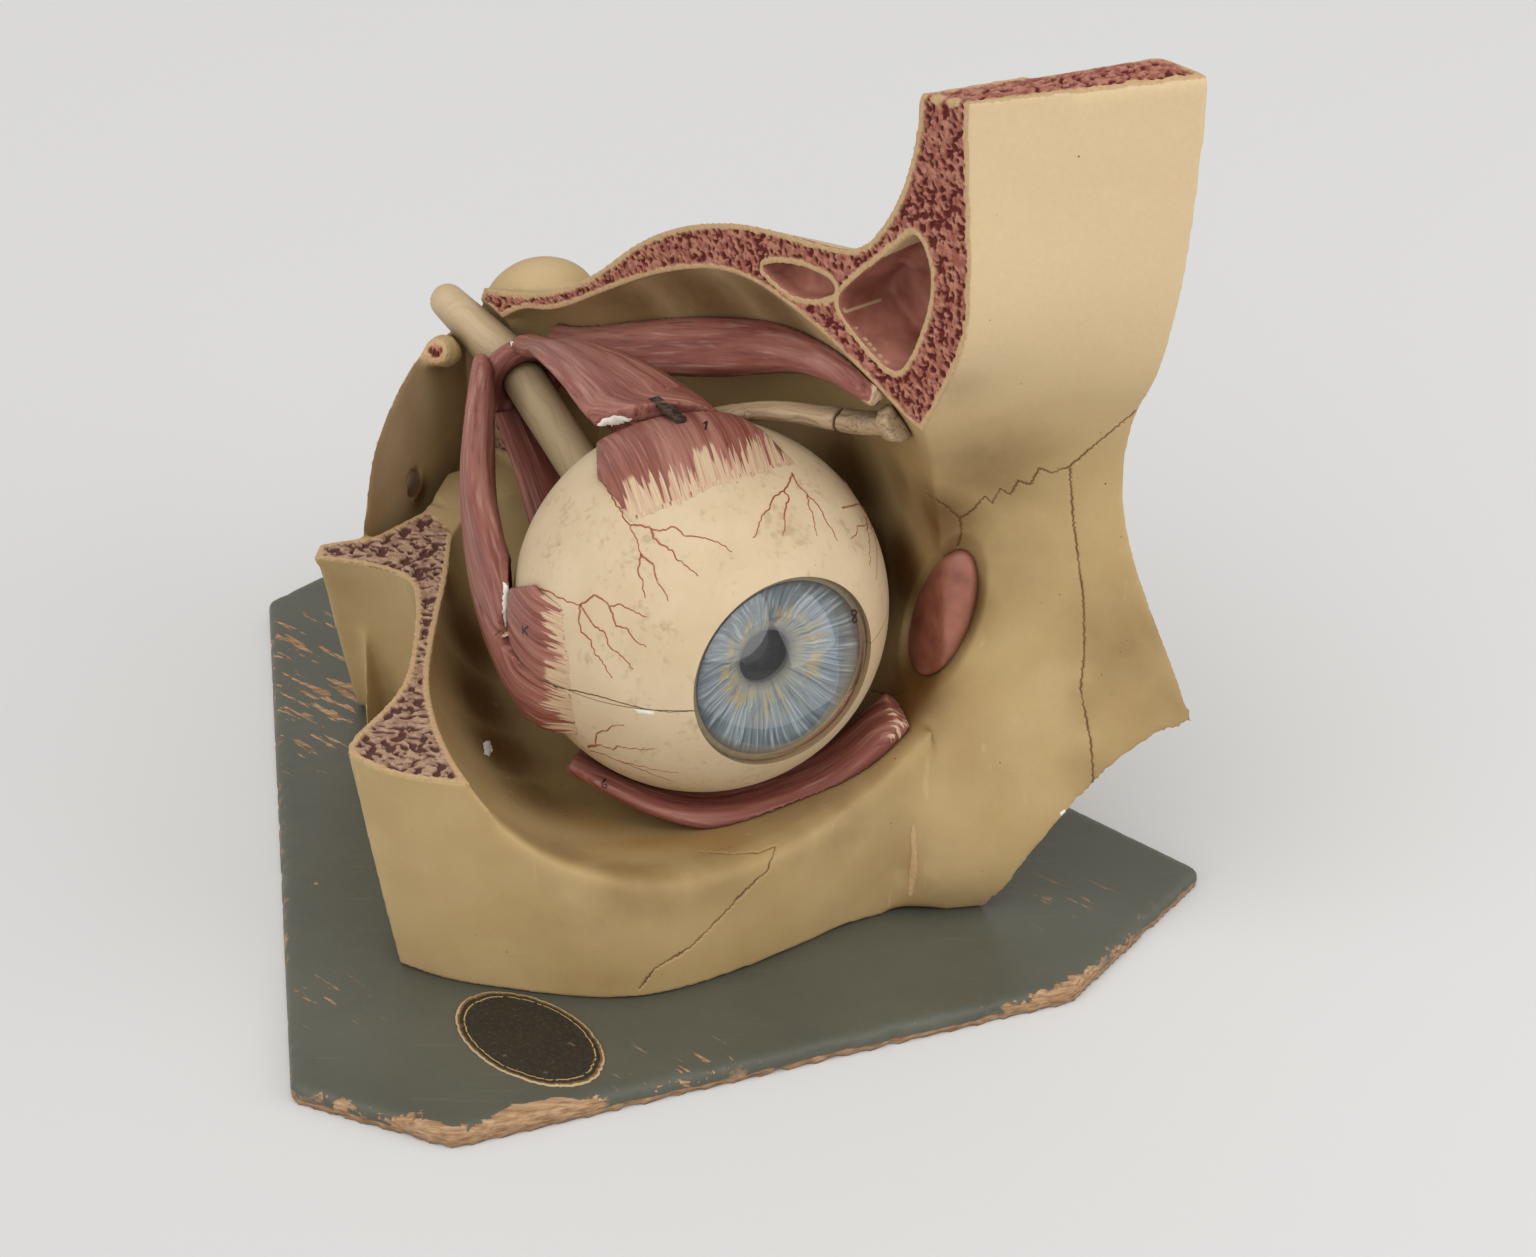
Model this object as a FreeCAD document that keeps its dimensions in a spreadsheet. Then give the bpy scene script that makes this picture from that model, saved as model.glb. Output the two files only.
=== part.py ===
import FreeCAD, Part
import Sketcher
import math
import os

from FreeCAD import Placement, Rotation, Vector

# Eye anatomy model: a right eyeball in its sawn bony orbit, on a wooden board, in millimetres.
# The origin is on the underside of the board, straight below the centre of the eyeball.
# -Y is the way the eye looks, +X is towards the nose, +Z is up.

# ---------------------------------------------------------------- driving dimensions
SIZES = [
    # wooden board
    ("board_thickness", 7.0),
    ("board_edge_round", 3.0),
    ("board_left_x", -168.0),
    ("board_left_y", -40.0),
    ("board_front_left_x", -137.0),
    ("board_front_left_y", -86.0),
    ("board_front_right_x", 65.5),
    ("board_front_right_y", -119.5),
    ("board_right_x", 142.0),
    ("board_right_y", -85.0),
    ("board_back_right_x", 49.0),
    ("board_back_right_y", 279.0),
    ("board_back_left_x", -48.0),
    ("board_back_left_y", 247.0),
    ("label_long_radius", 29.8),
    ("label_short_radius", 17.5),
    ("label_thickness", 0.4),
    ("label_inset_x", 42.2),
    ("label_inset_y", 29.7),
    ("label_turn", -79.0),
    ("screw_radius", 2.2),
    ("screw_head_radius", 4.4),
    ("screw_length", 30.0),
    # eyeball
    ("eye_radius", 60.0),
    ("eye_height", 107.0),
    ("sclera_wall", 4.5),
    ("choroid_wall", 1.6),
    ("fit_gap", 0.3),
    ("seam_tilt", 4.5),
    ("seam_drop", 2.0),
    ("seam_gap", 0.3),
    ("pin_radius", 1.1),
    ("pin_length", 9.0),
    ("pin_clearance", 0.3),
    ("opening_radius", 32.0),
    ("iris_inset", 2.4),
    ("iris_ledge", 1.4),
    ("iris_thickness", 1.4),
    ("iris_depth", 9.0),
    ("pupil_radius", 9.0),
    ("cornea_curve", 38.0),
    ("cornea_thickness", 1.4),
    ("lens_radius", 22.0),
    ("lens_front_curve", 35.0),
    ("lens_back_curve", 28.0),
    ("lens_depth", 33.0),
    ("ciliary_thickness", 4.0),
    ("ciliary_inner_radius", 20.0),
    ("lift_travel", 9.0),
    # orbit
    ("saw_turn", 8.0),
    ("roof_saw_distance", 34.8),
    ("midline_distance", 94.2),
    ("lateral_saw_height", 87.0),
    ("forehead_height", 291.0),
    ("nasal_wall_gap", 7.0),
    ("temporal_wall_gap", 44.0),
    ("floor_gap", 10.0),
    ("roof_gap", 70.0),
    ("apex_x", 12.0),
    ("apex_y", 150.0),
    ("apex_z", 128.0),
    ("sinus_depth", 22.0),
    ("foramen_radius", 4.5),
    ("nasal_bone_width", 14.2),
    ("sphenoid_front", 62.0),
    ("frontal_back", 129.0),
    ("sac_length", 48.0),
    ("sac_width", 24.0),
    ("sac_depth", 14.0),
    ("sac_turn", -49.0),
    ("sac_lean", 15.0),
    # soft parts
    ("muscle_thickness", 6.0),
    ("insertion_thickness", 2.4),
    ("nerve_radius", 7.5),
    ("stub_root_radius", 9.0),
    ("stub_tip_radius", 6.3),
    ("ring_tube", 4.2),
    ("tendon_width", 9.5),
    ("tendon_thickness", 6.5),
    ("pulley_radius", 6.0),
    ("pulley_length", 6.0),
    ("cut_gap", 0.8),
    ("hook_width", 3.6),
    ("hook_thickness", 1.1),
    ("hook_reach", 12.0),
    ("hook_tail", 6.0),
    ("hook_tip", 2.2),
]

doc = FreeCAD.newDocument("eye_anatomy_model")
sheet = doc.addObject("Spreadsheet::Sheet", "Sizes")
for row, (alias, value) in enumerate(SIZES, start=1):
    sheet.set(f"A{row}", alias)
    sheet.set(f"B{row}", str(value))
    sheet.setAlias(f"B{row}", alias)
doc.recompute()


def size(alias):
    return float(sheet.get(alias))


BOARD_TOP = size("board_thickness")
RADIUS = size("eye_radius")
EYE = Vector(0, 0, size("eye_height"))
GAP = size("fit_gap")
APEX = Vector(size("apex_x"), size("apex_y"), size("apex_z"))
FAR = 500.0
SKIN_DEGREE = 2
parts = []


def named(obj, node):
    obj.Label = node
    parts.append(obj)
    return obj


def bind(obj, **cells):
    for prop, cell in cells.items():
        obj.setExpression(prop, cell)
    return obj


def feature(name, shape, placement=None):
    obj = doc.addObject("Part::Feature", name)
    obj.Shape = shape
    if placement:
        obj.Placement = placement
    return obj


def boolean(kind, name, base, tool):
    obj = doc.addObject("Part::" + kind, name)
    obj.Base = base
    obj.Tool = tool
    return obj


def fused(name, shapes):
    obj = doc.addObject("Part::MultiFuse", name)
    obj.Shapes = shapes
    return obj


def cut_in_turn(name, base, tools):
    for index, tool in enumerate(tools):
        base = boolean("Cut", f"{name}_cut_{index}", base, tool)
    return base


def sphere(name, radius_cell, centre=EYE):
    obj = doc.addObject("Part::Sphere", name)
    bind(obj, Radius=radius_cell)
    obj.Placement = Placement(centre, Rotation())
    return obj


def interpolated(points, smooth=True):
    """One edge through the points, or a chain of straight ones."""
    if not smooth or len(points) == 2:
        return Part.makePolygon(points).Edges
    curve = Part.BSplineCurve()
    steps = [float(i) for i in range(len(points))]
    curve.interpolate(Points=points, Parameters=steps)
    return [curve.toShape()]


def ring_curve(points):
    """A closed smooth curve through the points."""
    curve = Part.BSplineCurve()
    steps = [float(i) for i in range(len(points) + 1)]
    curve.interpolate(Points=points, PeriodicFlag=True, Parameters=steps)
    return curve


def ring_wire(points):
    return Part.Wire([ring_curve(points).toShape()])


def skinned(rings):
    """A solid with one smooth skin over flat rings and a flat cap at either end."""
    poles = [ring.getPoles() for ring in rings]
    count = len(rings)
    spans = count - SKIN_DEGREE
    surface = Part.BSplineSurface()
    surface.buildFromPolesMultsKnots(
        [list(column) for column in zip(*poles)], rings[0].getMultiplicities(),
        [SKIN_DEGREE + 1] + [1] * (spans - 1) + [SKIN_DEGREE + 1], rings[0].getKnots(),
        [float(i) for i in range(spans + 1)], True, False, rings[0].Degree, SKIN_DEGREE)
    skin = surface.toShape()
    ends = [edge for edge in skin.Edges if edge.isClosed()]
    caps = [Part.Face(Part.Wire([edge])) for edge in ends]
    shell = Part.makeShell([skin] + caps)
    shell.sewShape()
    solid = Part.makeSolid(shell)
    if solid.Volume < 0:
        solid.reverse()
    return solid



def outline(runs):
    """A closed wire from runs of points: each run is (smooth, points) and starts where the last ended."""
    edges = []
    for smooth, points in runs:
        edges.extend(interpolated(points, smooth))
    return Part.Wire(edges)


# ---------------------------------------------------------------- board, label, screws
BOARD_CORNERS = ["left", "front_left", "front_right", "right", "back_right", "back_left"]


def origin_plane(body, role):
    return next(f for f in body.Origin.OriginFeatures if f.Role == role)


def make_board():
    body = doc.addObject("PartDesign::Body", "board_blank")
    sketch = body.newObject("Sketcher::SketchObject", "board_outline")
    sketch.AttachmentSupport = [(origin_plane(body, "XY_Plane"), "")]
    sketch.MapMode = "FlatFace"
    corners = [Vector(size(f"board_{c}_x"), size(f"board_{c}_y"), 0) for c in BOARD_CORNERS]
    count = len(corners)
    for i, corner in enumerate(corners):
        sketch.addGeometry(Part.LineSegment(corner, corners[(i + 1) % count]), False)
    for i in range(count):
        sketch.addConstraint(Sketcher.Constraint("Coincident", i, 2, (i + 1) % count, 1))
    for i, corner in enumerate(corners):
        for axis, kind, value in (("x", "DistanceX", corner.x), ("y", "DistanceY", corner.y)):
            index = sketch.addConstraint(Sketcher.Constraint(kind, -1, 1, i, 1, value))
            sketch.renameConstraint(index, f"{BOARD_CORNERS[i]}_{axis}")
            sketch.setExpression(f"Constraints[{index}]", f"Sizes.board_{BOARD_CORNERS[i]}_{axis}")
    pad = body.newObject("PartDesign::Pad", "board_pad")
    pad.Profile = sketch
    bind(pad, Length="Sizes.board_thickness")
    doc.recompute()
    rounded = body.newObject("PartDesign::Fillet", "board_rounding")
    sharp = [f"Edge{i + 1}" for i, e in enumerate(pad.Shape.Edges) if e.BoundBox.ZMax > BOARD_TOP / 2]
    rounded.Base = (pad, sharp)
    bind(rounded, Radius="Sizes.board_edge_round")
    doc.recompute()
    return body


SCREW_PLACES = [(-92, 6), (-8, -38), (58, -30), (0, 150)]


def make_screws():
    head_height = size("screw_head_radius") - size("screw_radius")
    screws = []
    for x, y in SCREW_PLACES:
        head = Part.makeCone(size("screw_head_radius"), size("screw_radius"), head_height)
        shank = Part.makeCylinder(size("screw_radius"), size("screw_length"))
        screw = head.fuse(shank).removeSplitter()
        screw.translate(Vector(x, y, 0))
        screws.append(screw)
    return feature("screw_set", Part.makeCompound(screws))


screws = named(make_screws(), "base_screws")
board = named(boolean("Cut", "board", make_board(), screws), "base_board")


def make_label():
    corner = Vector(size("board_front_left_x"), size("board_front_left_y"), BOARD_TOP)
    ellipse = doc.addObject("Part::Ellipse", "label_outline")
    bind(ellipse, MajorRadius="Sizes.label_long_radius", MinorRadius="Sizes.label_short_radius")
    inward = Vector(size("label_inset_x"), size("label_inset_y"), 0)
    ellipse.Placement = Placement(corner + inward, Rotation(Vector(0, 0, 1), size("label_turn")))
    label = doc.addObject("Part::Extrusion", "label")
    label.Base = ellipse
    label.DirMode = "Custom"
    label.Dir = Vector(0, 0, 1)
    label.Solid = True
    bind(label, LengthFwd="Sizes.label_thickness")
    return label


named(make_label(), "board_label")

# ---------------------------------------------------------------- bony orbit
# Two parallel saw cuts bound the nasal side: one through the orbital roof and one at the midline.
# Both stand upright and are turned about Z by saw_turn. Their own frame is (across, along, height).
TURN = math.radians(size("saw_turn"))
ACROSS = Vector(math.cos(TURN), math.sin(TURN), 0)
ALONG = Vector(-math.sin(TURN), math.cos(TURN), 0)
TOP = size("forehead_height")


def sagittal(across, along, height):
    return ACROSS * across + ALONG * along + Vector(0, 0, height)


# (along, height) of the face from the board to the top of the forehead, at each saw cut.
FACE_AT_ROOF_CUT = [(-63, 12), (-66, 45), (-46, 75), (-20, 100), (-20, 122), (-38, 152),
                    (-62, 183), (-72, 200), (-83, 225), (-83, 260), (-81, 296)]
FACE_AT_MIDLINE = [(-100, 12), (-120, 45), (-127, 75), (-127, 97), (-108, 127), (-95, 157),
                   (-98, 185), (-107, 204), (-114, 232), (-118, 262), (-120, 302)]
# (along, height) of the inside of the skull from the forehead back over the roof.
SKULL_AT_ROOF_CUT = [(-60, 293), (-54, 264), (-40, 242), (-20, 233), (25, 226), (70, 207),
                     (98, 186), (128, 168), (168, 156)]
SKULL_AT_MIDLINE = [(-99, 303), (-92, 272), (-78, 240), (-45, 214), (10, 200), (60, 181),
                    (95, 171), (130, 158), (164, 137)]
BACK_OF_SLAB = [(178, 132), (182, 12)]
FACE_FOOT = 12.0
FACE_TOP = 296.0


def raised(height):
    """Heights in the outlines run from the board top to the forehead, whatever those two are."""
    return BOARD_TOP + (height - FACE_FOOT) * (TOP - BOARD_TOP) / (FACE_TOP - FACE_FOOT)


def slab_outline(across, face, skull):
    def place(pairs):
        return [sagittal(across, along, raised(height)) for along, height in pairs]
    face, skull, back = place(face), place(skull), place(BACK_OF_SLAB)
    return outline([
        (True, face),
        (False, [face[-1], skull[0]]),
        (True, skull),
        (False, [skull[-1]] + back + [face[0]]),
    ])


def make_slab():
    roof_side = slab_outline(size("roof_saw_distance"), FACE_AT_ROOF_CUT, SKULL_AT_ROOF_CUT)
    nose_side = slab_outline(size("midline_distance"), FACE_AT_MIDLINE, SKULL_AT_MIDLINE)
    return Part.makeLoft([roof_side, nose_side], True, True)


# Plan outlines of the cheek and the lateral wall, at the board and at the level saw cut.
CHEEK_AT_BOARD = [(-112, 1), (-102, -15), (-86, -32), (-61, -52), (-35, -58), (-5, -57), (25, -54), (52, -60.5)]
CHEEK_AT_SAW = [(-123, 5), (-116, -13), (-100, -30), (-65, -57), (-35, -64), (-5, -64), (32, -60), (52, -61)]
TEMPLE_AT_BOARD = [(-55, 156), (-50, 149), (-44, 130), (-45, 104), (-62, 66), (-84, 36), (-102, 13), (-112, 1)]
TEMPLE_AT_SAW = [(-78, 128), (-68, 118), (-59, 104), (-60, 88), (-74, 60), (-92, 33), (-111, 18), (-123, 5)]
BACK_AT_BOARD = [(30, 172), (-14, 168), (-33, 161), (-44, 160), (-51, 160), (-55, 156)]
BACK_AT_SAW = [(30, 172), (-11, 162), (-31, 140), (-53, 132), (-72, 136), (-78, 128)]


def wall_outline(height, cheek, temple, back):
    def place(pairs):
        return [Vector(x, y, height) for x, y in pairs]
    cheek, temple, back = place(cheek), place(temple), place(back)
    return outline([(True, cheek), (False, [cheek[-1]] + back), (True, temple)])


def make_lateral_wall():
    foot = wall_outline(BOARD_TOP, CHEEK_AT_BOARD, TEMPLE_AT_BOARD, BACK_AT_BOARD)
    sawn = wall_outline(size("lateral_saw_height"), CHEEK_AT_SAW, TEMPLE_AT_SAW, BACK_AT_SAW)
    return Part.makeLoft([foot, sawn], True, True)


# Back wall: an upright plate that faces the eyeball. (sideways, height) along its front face.
BACK_WALL_FACE = [(26, 12), (28, 60), (32, 92), (36, 107), (43, 121), (56, 132), (72, 140), (90, 142)]
BACK_WALL_RIGHT = [(122, 140), (122, 12)]
BACK_WALL_SETBACK = 140.0
BACK_WALL_DEPTH = 32.0
BACK_WALL_FALL = 15.0


def make_back_wall():
    side = Vector(0.8, 0.6, 0)
    start = Vector(-0.6, 0.8, 0) * BACK_WALL_SETBACK
    lean = Vector(0.5, 0.866, 0) * BACK_WALL_DEPTH

    def place(pairs, shift, fall):
        return [start + side * u + shift + Vector(0, 0, raised(z) - fall * (z > FACE_FOOT)) for u, z in pairs]

    wires = []
    for shift, fall in ((Vector(), 0), (lean, BACK_WALL_FALL)):
        curved = place(BACK_WALL_FACE, shift, fall)
        straight = place(BACK_WALL_RIGHT, shift, fall)
        wires.append(outline([(True, curved), (False, [curved[-1]] + straight + [curved[0]])]))
    return Part.makeLoft(wires, True, True)


# The hollow of the orbit: stations from the rim back to the apex. Each one is
# (distance behind the centre of the eye, sideways centre, height above the eye's centre,
#  then the share of the temporal, nasal, upper and lower reach at the eye).
ORBIT_STATIONS = [
    (-62, -20, 0, 1.00, 0.93, 0.85, 0.81),
    (-35, -20, 0, 0.98, 0.97, 0.87, 0.90),
    (-5, -20, 0, 0.92, 1.00, 0.90, 1.00),
    (30, -15, 0, 0.84, 0.94, 0.885, 1.00),
    (65, -8, 2, 0.68, 0.73, 0.745, 0.94),
    (100, 0, 7, 0.53, 0.50, 0.51, 0.80),
    (130, 6, 14, 0.50, 0.31, 0.28, 0.62),
    (150, 11, 20, 0.24, 0.22, 0.18, 0.34),
    (160, 12, 21, 0.15, 0.14, 0.11, 0.18),
]
ORBIT_CENTRE_X = -20.0
SQUARENESS = 2.15
SECTION_POINTS = 16


def orbit_reach():
    temporal = RADIUS + size("temporal_wall_gap") + ORBIT_CENTRE_X
    nasal = RADIUS + size("nasal_wall_gap") - ORBIT_CENTRE_X
    return temporal, nasal, RADIUS + size("roof_gap"), RADIUS + size("floor_gap")


def orbit_point(station, angle):
    """A point on the orbit's wall; angle is measured from the nasal side upwards."""
    behind, sideways, above, *shares = station
    temporal, nasal, upper, lower = [r * s for r, s in zip(orbit_reach(), shares)]
    cosine, sine = math.cos(angle), math.sin(angle)
    x = (nasal if cosine > 0 else temporal) * math.copysign(abs(cosine) ** (2 / SQUARENESS), cosine)
    z = (upper if sine > 0 else lower) * math.copysign(abs(sine) ** (2 / SQUARENESS), sine)
    return EYE + Vector(sideways + x, behind, above + z)


def make_orbit_hollow():
    mouth = (ORBIT_STATIONS[0][0] - FAR / 2,) + ORBIT_STATIONS[0][1:]
    turns = [2 * math.pi * i / SECTION_POINTS for i in range(SECTION_POINTS)]
    return skinned([ring_curve([orbit_point(s, t) for t in turns]) for s in [mouth] + ORBIT_STATIONS])


# Hollow of the nose under the midline: (across, height) of its roof and side wall.
NOSE_HOLLOW = [(57, 12), (62, 30), (72, 54), (84, 76), (96, 95), (110, 100), (110, 12)]
NOSE_HOLLOW_BACK = 138.0


def make_nose_hollow():
    corners = [sagittal(across, -FAR / 2, raised(height)) for across, height in NOSE_HOLLOW]
    rim = outline([(True, corners[:5]), (False, corners[4:] + [corners[0]])])
    return Part.Face(rim).extrude(ALONG * (FAR / 2 + NOSE_HOLLOW_BACK))


# Frontal sinus: two recesses in the sawn face, (along, height), and the share of the sinus depth.
LARGE_SINUS = [(-61, 248), (-66, 240), (-65, 226), (-56, 206), (-45, 203), (-30, 210), (-26, 218),
               (-39, 231), (-51, 242)]
SMALL_SINUS = [(10, 216), (-7, 221), (-21, 221), (-20, 216), (-4, 211), (8, 213)]
SMALL_SINUS_SHARE = 0.3


def make_sinus(corners, share):
    points = [sagittal(size("roof_saw_distance") - 1, along, raised(height)) for along, height in corners]
    floor_face = Part.Face(ring_wire(points))
    return floor_face.extrude(ACROSS * (size("sinus_depth") * share + 1))


def make_foramen():
    mouth = Vector(-18, 123, raised(98))
    return Part.makeCylinder(size("foramen_radius"), 60, mouth, Vector(-0.25, 0.95, -0.1))


def make_strut():
    root = Vector(-4, 166, raised(137))
    return Part.makeCylinder(6.0, 13, root, Vector(-0.78, -0.52, 0.35))


def near(right, back, up):
    """A place around the eyeball, given for an eye of 60 mm radius."""
    return EYE + Vector(right, back, up) * (RADIUS / NOMINAL_RADIUS)


NOMINAL_RADIUS = 60.0
BOND = 0.1
NERVE_END = APEX + Vector(-12, 27, 17.5)


def nerve_length(name, radius_cell, start, end):
    rod = doc.addObject("Part::Cylinder", name)
    bind(rod, Radius=radius_cell)
    rod.Height = (end - start).Length
    rod.Placement = Placement(start, Rotation(Vector(0, 0, 1), end - start))
    return rod


SAC_CENTRE = near(62, -44, 1)
SAC_TURN = Rotation(Vector(0, 0, 1), size("sac_turn")).multiply(Rotation(Vector(0, 1, 0), size("sac_lean")))


def ellipsoid(name, centre, radii, turn=Rotation()):
    """Radii along its own length, width and depth, as sizes or expressions."""
    body = doc.addObject("Part::Ellipsoid", name)
    for prop, radius in zip(("Radius1", "Radius2", "Radius3"), radii):
        body.setExpression(prop, str(radius))
    body.Placement = Placement(centre, turn)
    return body


def half_space(name, point, outward):
    """A large box whose one face passes through the point, on the side the direction shows."""
    box = doc.addObject("Part::Box", name)
    box.Length = box.Width = box.Height = 2 * FAR
    turn = Rotation(Vector(0, 0, 1), outward)
    box.Placement = Placement(point - turn.multVec(Vector(FAR, FAR, 0)), turn)
    return box


def wedge(name, planes):
    """The room that lies on the outward side of every (point, outward) plane."""
    room = half_space(f"{name}_0", *planes[0])
    for index, plane in enumerate(planes[1:], start=1):
        room = boolean("Common", f"{name}_room_{index}", room, half_space(f"{name}_{index}", *plane))
    return room


# Hump on the floor of the skull behind the roof saw cut: its place and its height, width and depth.
ROOF_SAW = sagittal(size("roof_saw_distance"), 0, 0)
HUMP_PLACE = Vector(38, 180, raised(139))
HUMP_RADII = (18, 22, 17)

orbit_hollow = feature("orbit_hollow", make_orbit_hollow())
slab_cuts = [feature("nose_hollow", make_nose_hollow()),
             feature("large_sinus", make_sinus(LARGE_SINUS, 1)),
             feature("small_sinus", make_sinus(SMALL_SINUS, SMALL_SINUS_SHARE))]
slab = cut_in_turn("slab", feature("nasal_slab", make_slab()), slab_cuts)
hump = boolean("Common", "skull_hump", ellipsoid("hump_body", HUMP_PLACE, HUMP_RADII),
               half_space("behind_roof_saw", ROOF_SAW, ACROSS))
bone_mass = fused("bone_mass", [slab, hump, feature("lateral_wall", make_lateral_wall()),
                                feature("back_wall", make_back_wall()), feature("optic_strut", make_strut())])
nerve_canal = nerve_length("nerve_canal", f"Sizes.stub_root_radius + {BOND}", APEX * 2 - NERVE_END,
                           NERVE_END * 2 - APEX)
bone = cut_in_turn("bone", bone_mass, [orbit_hollow, feature("foramen", make_foramen()), nerve_canal, screws])


# The bones part along their sutures.
frontal_room = wedge("frontal_suture", [
    (sagittal(58, 0, raised(149)), Vector(-0.72, 0, 0.69)),
    (ROOF_SAW - ACROSS, ACROSS),
    (ALONG * size("frontal_back"), ALONG * -1),
])
nasal_room = wedge("nasal_suture", [
    (sagittal(size("midline_distance") - size("nasal_bone_width"), 0, 0), ACROSS),
    (Vector(0, -RADIUS, 0), Vector(0, -1, 0)),
])
cheek_room = wedge("cheek_suture", [
    (Vector(-57, 0, BOARD_TOP), Vector(-0.63, 0, 0.77)),
    (Vector(-12, 0, 0), Vector(-1, 0, 0)),
])
sphenoid_room = half_space("sphenoid_suture", Vector(0, size("sphenoid_front"), 0), Vector(0, 1, 0))

named(boolean("Common", "frontal", bone, frontal_room), "frontal_bone")
below_frontal = boolean("Cut", "below_frontal", bone, frontal_room)
named(boolean("Common", "sphenoid", below_frontal, sphenoid_room), "sphenoid_bone")
face_bones = boolean("Cut", "face_bones", below_frontal, sphenoid_room)
named(boolean("Common", "nasal", face_bones, nasal_room), "nasal_bone")
jaw_and_cheek = boolean("Cut", "jaw_and_cheek", face_bones, nasal_room)
named(boolean("Common", "cheek", jaw_and_cheek, cheek_room), "zygomatic_bone")
named(boolean("Cut", "jaw", jaw_and_cheek, cheek_room), "maxilla")
sac_body = ellipsoid("sac_body", SAC_CENTRE, [f"Sizes.sac_{side} / 2" for side in ("length", "width", "depth")],
                     SAC_TURN)
named(boolean("Common", "sac", sac_body, orbit_hollow), "lacrimal_sac")

# ---------------------------------------------------------------- eyeball
# The seam leans a little, and the upper half lifts at right angles to it.
TILT = math.radians(size("seam_tilt"))
LIFT = Vector(-math.sin(TILT), 0, math.cos(TILT))
SEAM = EYE - Vector(0, 0, size("seam_drop"))
FORWARD = Vector(0, -1, 0)


def along_gaze(kind, name, start, **cells):
    """A primitive that stands on its end at the given distance in front of the eye's centre."""
    obj = doc.addObject("Part::" + kind, name)
    bind(obj, **cells)
    obj.Placement = Placement(EYE + FORWARD * start, Rotation(Vector(0, 0, 1), FORWARD))
    return obj


below_seam = half_space("below_seam", SEAM, LIFT * -1)
above_seam = half_space("above_seam", SEAM, LIFT)
above_gap = half_space("above_gap", SEAM + LIFT * size("seam_gap"), LIFT)
SEAT = math.sqrt(RADIUS ** 2 - size("opening_radius") ** 2) - size("iris_inset")
opening = along_gaze("Cylinder", "opening", 0, Radius="Sizes.opening_radius", Height="Sizes.eye_radius * 2")
rebate = along_gaze("Cylinder", "iris_rebate", 0, Height=f"{SEAT}",
                    Radius="Sizes.opening_radius + Sizes.iris_ledge + Sizes.fit_gap")


def coat(name, outer_cell, inner_cell):
    hollow = boolean("Cut", name + "_hollow", sphere(name + "_outside", outer_cell), sphere(name + "_inside", inner_cell))
    return cut_in_turn(name, hollow, [opening, rebate])


def make_pins(name, radius_cell):
    pins = []
    for index, degrees in enumerate((12, 118, 168)):
        turn = Rotation(Vector(0, 0, 1), LIFT)
        middle = RADIUS - size("sclera_wall") / 2
        foot = turn.multVec(Vector(middle * math.cos(math.radians(degrees)),
                                   middle * math.sin(math.radians(degrees)), -size("pin_length") * 0.55))
        pin = doc.addObject("Part::Cylinder", f"{name}_{index}")
        bind(pin, Radius=radius_cell, Height="Sizes.pin_length")
        pin.Placement = Placement(SEAM + foot, turn)
        pins.append(pin)
    group = doc.addObject("Part::Compound", name)
    group.Links = pins
    return group


pins = named(make_pins("pins", "Sizes.pin_radius"), "seam_pins")
pin_holes = make_pins("pin_holes", "Sizes.pin_radius + Sizes.pin_clearance")
sclera = coat("sclera", "Sizes.eye_radius", "Sizes.eye_radius - Sizes.sclera_wall")
choroid = coat("choroid", f"Sizes.eye_radius - Sizes.sclera_wall - {BOND}",
               "Sizes.eye_radius - Sizes.sclera_wall - Sizes.choroid_wall")
sclera_low = boolean("Common", "sclera_low", sclera, below_seam)
named(boolean("Cut", "sclera_low_drilled", sclera_low, pins), "sclera_lower")
sclera_high = boolean("Common", "sclera_high", sclera, above_gap)
named(boolean("Cut", "sclera_high_drilled", sclera_high, pin_holes), "sclera_upper")
named(boolean("Common", "choroid_low", choroid, below_seam), "choroid_lower")
named(boolean("Common", "choroid_high", choroid, above_gap), "choroid_upper")

iris_flange = along_gaze("Cylinder", "iris_flange", SEAT - size("iris_thickness"),
                         Radius="Sizes.opening_radius + Sizes.iris_ledge", Height="Sizes.iris_thickness")
iris_back = along_gaze("Cone", "iris_back", SEAT - size("iris_thickness") - size("iris_depth"),
                       Radius1="Sizes.pupil_radius + Sizes.iris_thickness",
                       Radius2="Sizes.opening_radius - Sizes.iris_ledge", Height="Sizes.iris_depth")
iris_front = along_gaze("Cone", "iris_front", SEAT - size("iris_depth"), Radius1="Sizes.pupil_radius",
                        Radius2="Sizes.opening_radius - Sizes.iris_ledge * 2", Height="Sizes.iris_depth")
pupil = along_gaze("Cylinder", "pupil", 0, Radius="Sizes.pupil_radius", Height="Sizes.eye_radius")
iris = cut_in_turn("iris", fused("iris_body", [iris_flange, iris_back]), [iris_front, pupil])
named(iris, "iris")

RIM = size("opening_radius") - GAP
CORNEA_CENTRE = SEAT - math.sqrt(size("cornea_curve") ** 2 - RIM ** 2)
cornea_outside = sphere("cornea_outside", "Sizes.cornea_curve", EYE + FORWARD * CORNEA_CENTRE)
cornea_inside = sphere("cornea_inside", "Sizes.cornea_curve - Sizes.cornea_thickness",
                       EYE + FORWARD * CORNEA_CENTRE)
cornea_dome = boolean("Cut", "cornea_dome", cornea_outside, cornea_inside)
in_front_of_seat = half_space("in_front_of_seat", EYE + FORWARD * SEAT, FORWARD)
named(boolean("Common", "cornea_cap", cornea_dome, in_front_of_seat), "cornea")

LENS_PLANE = size("lens_depth") - 6.0


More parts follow.
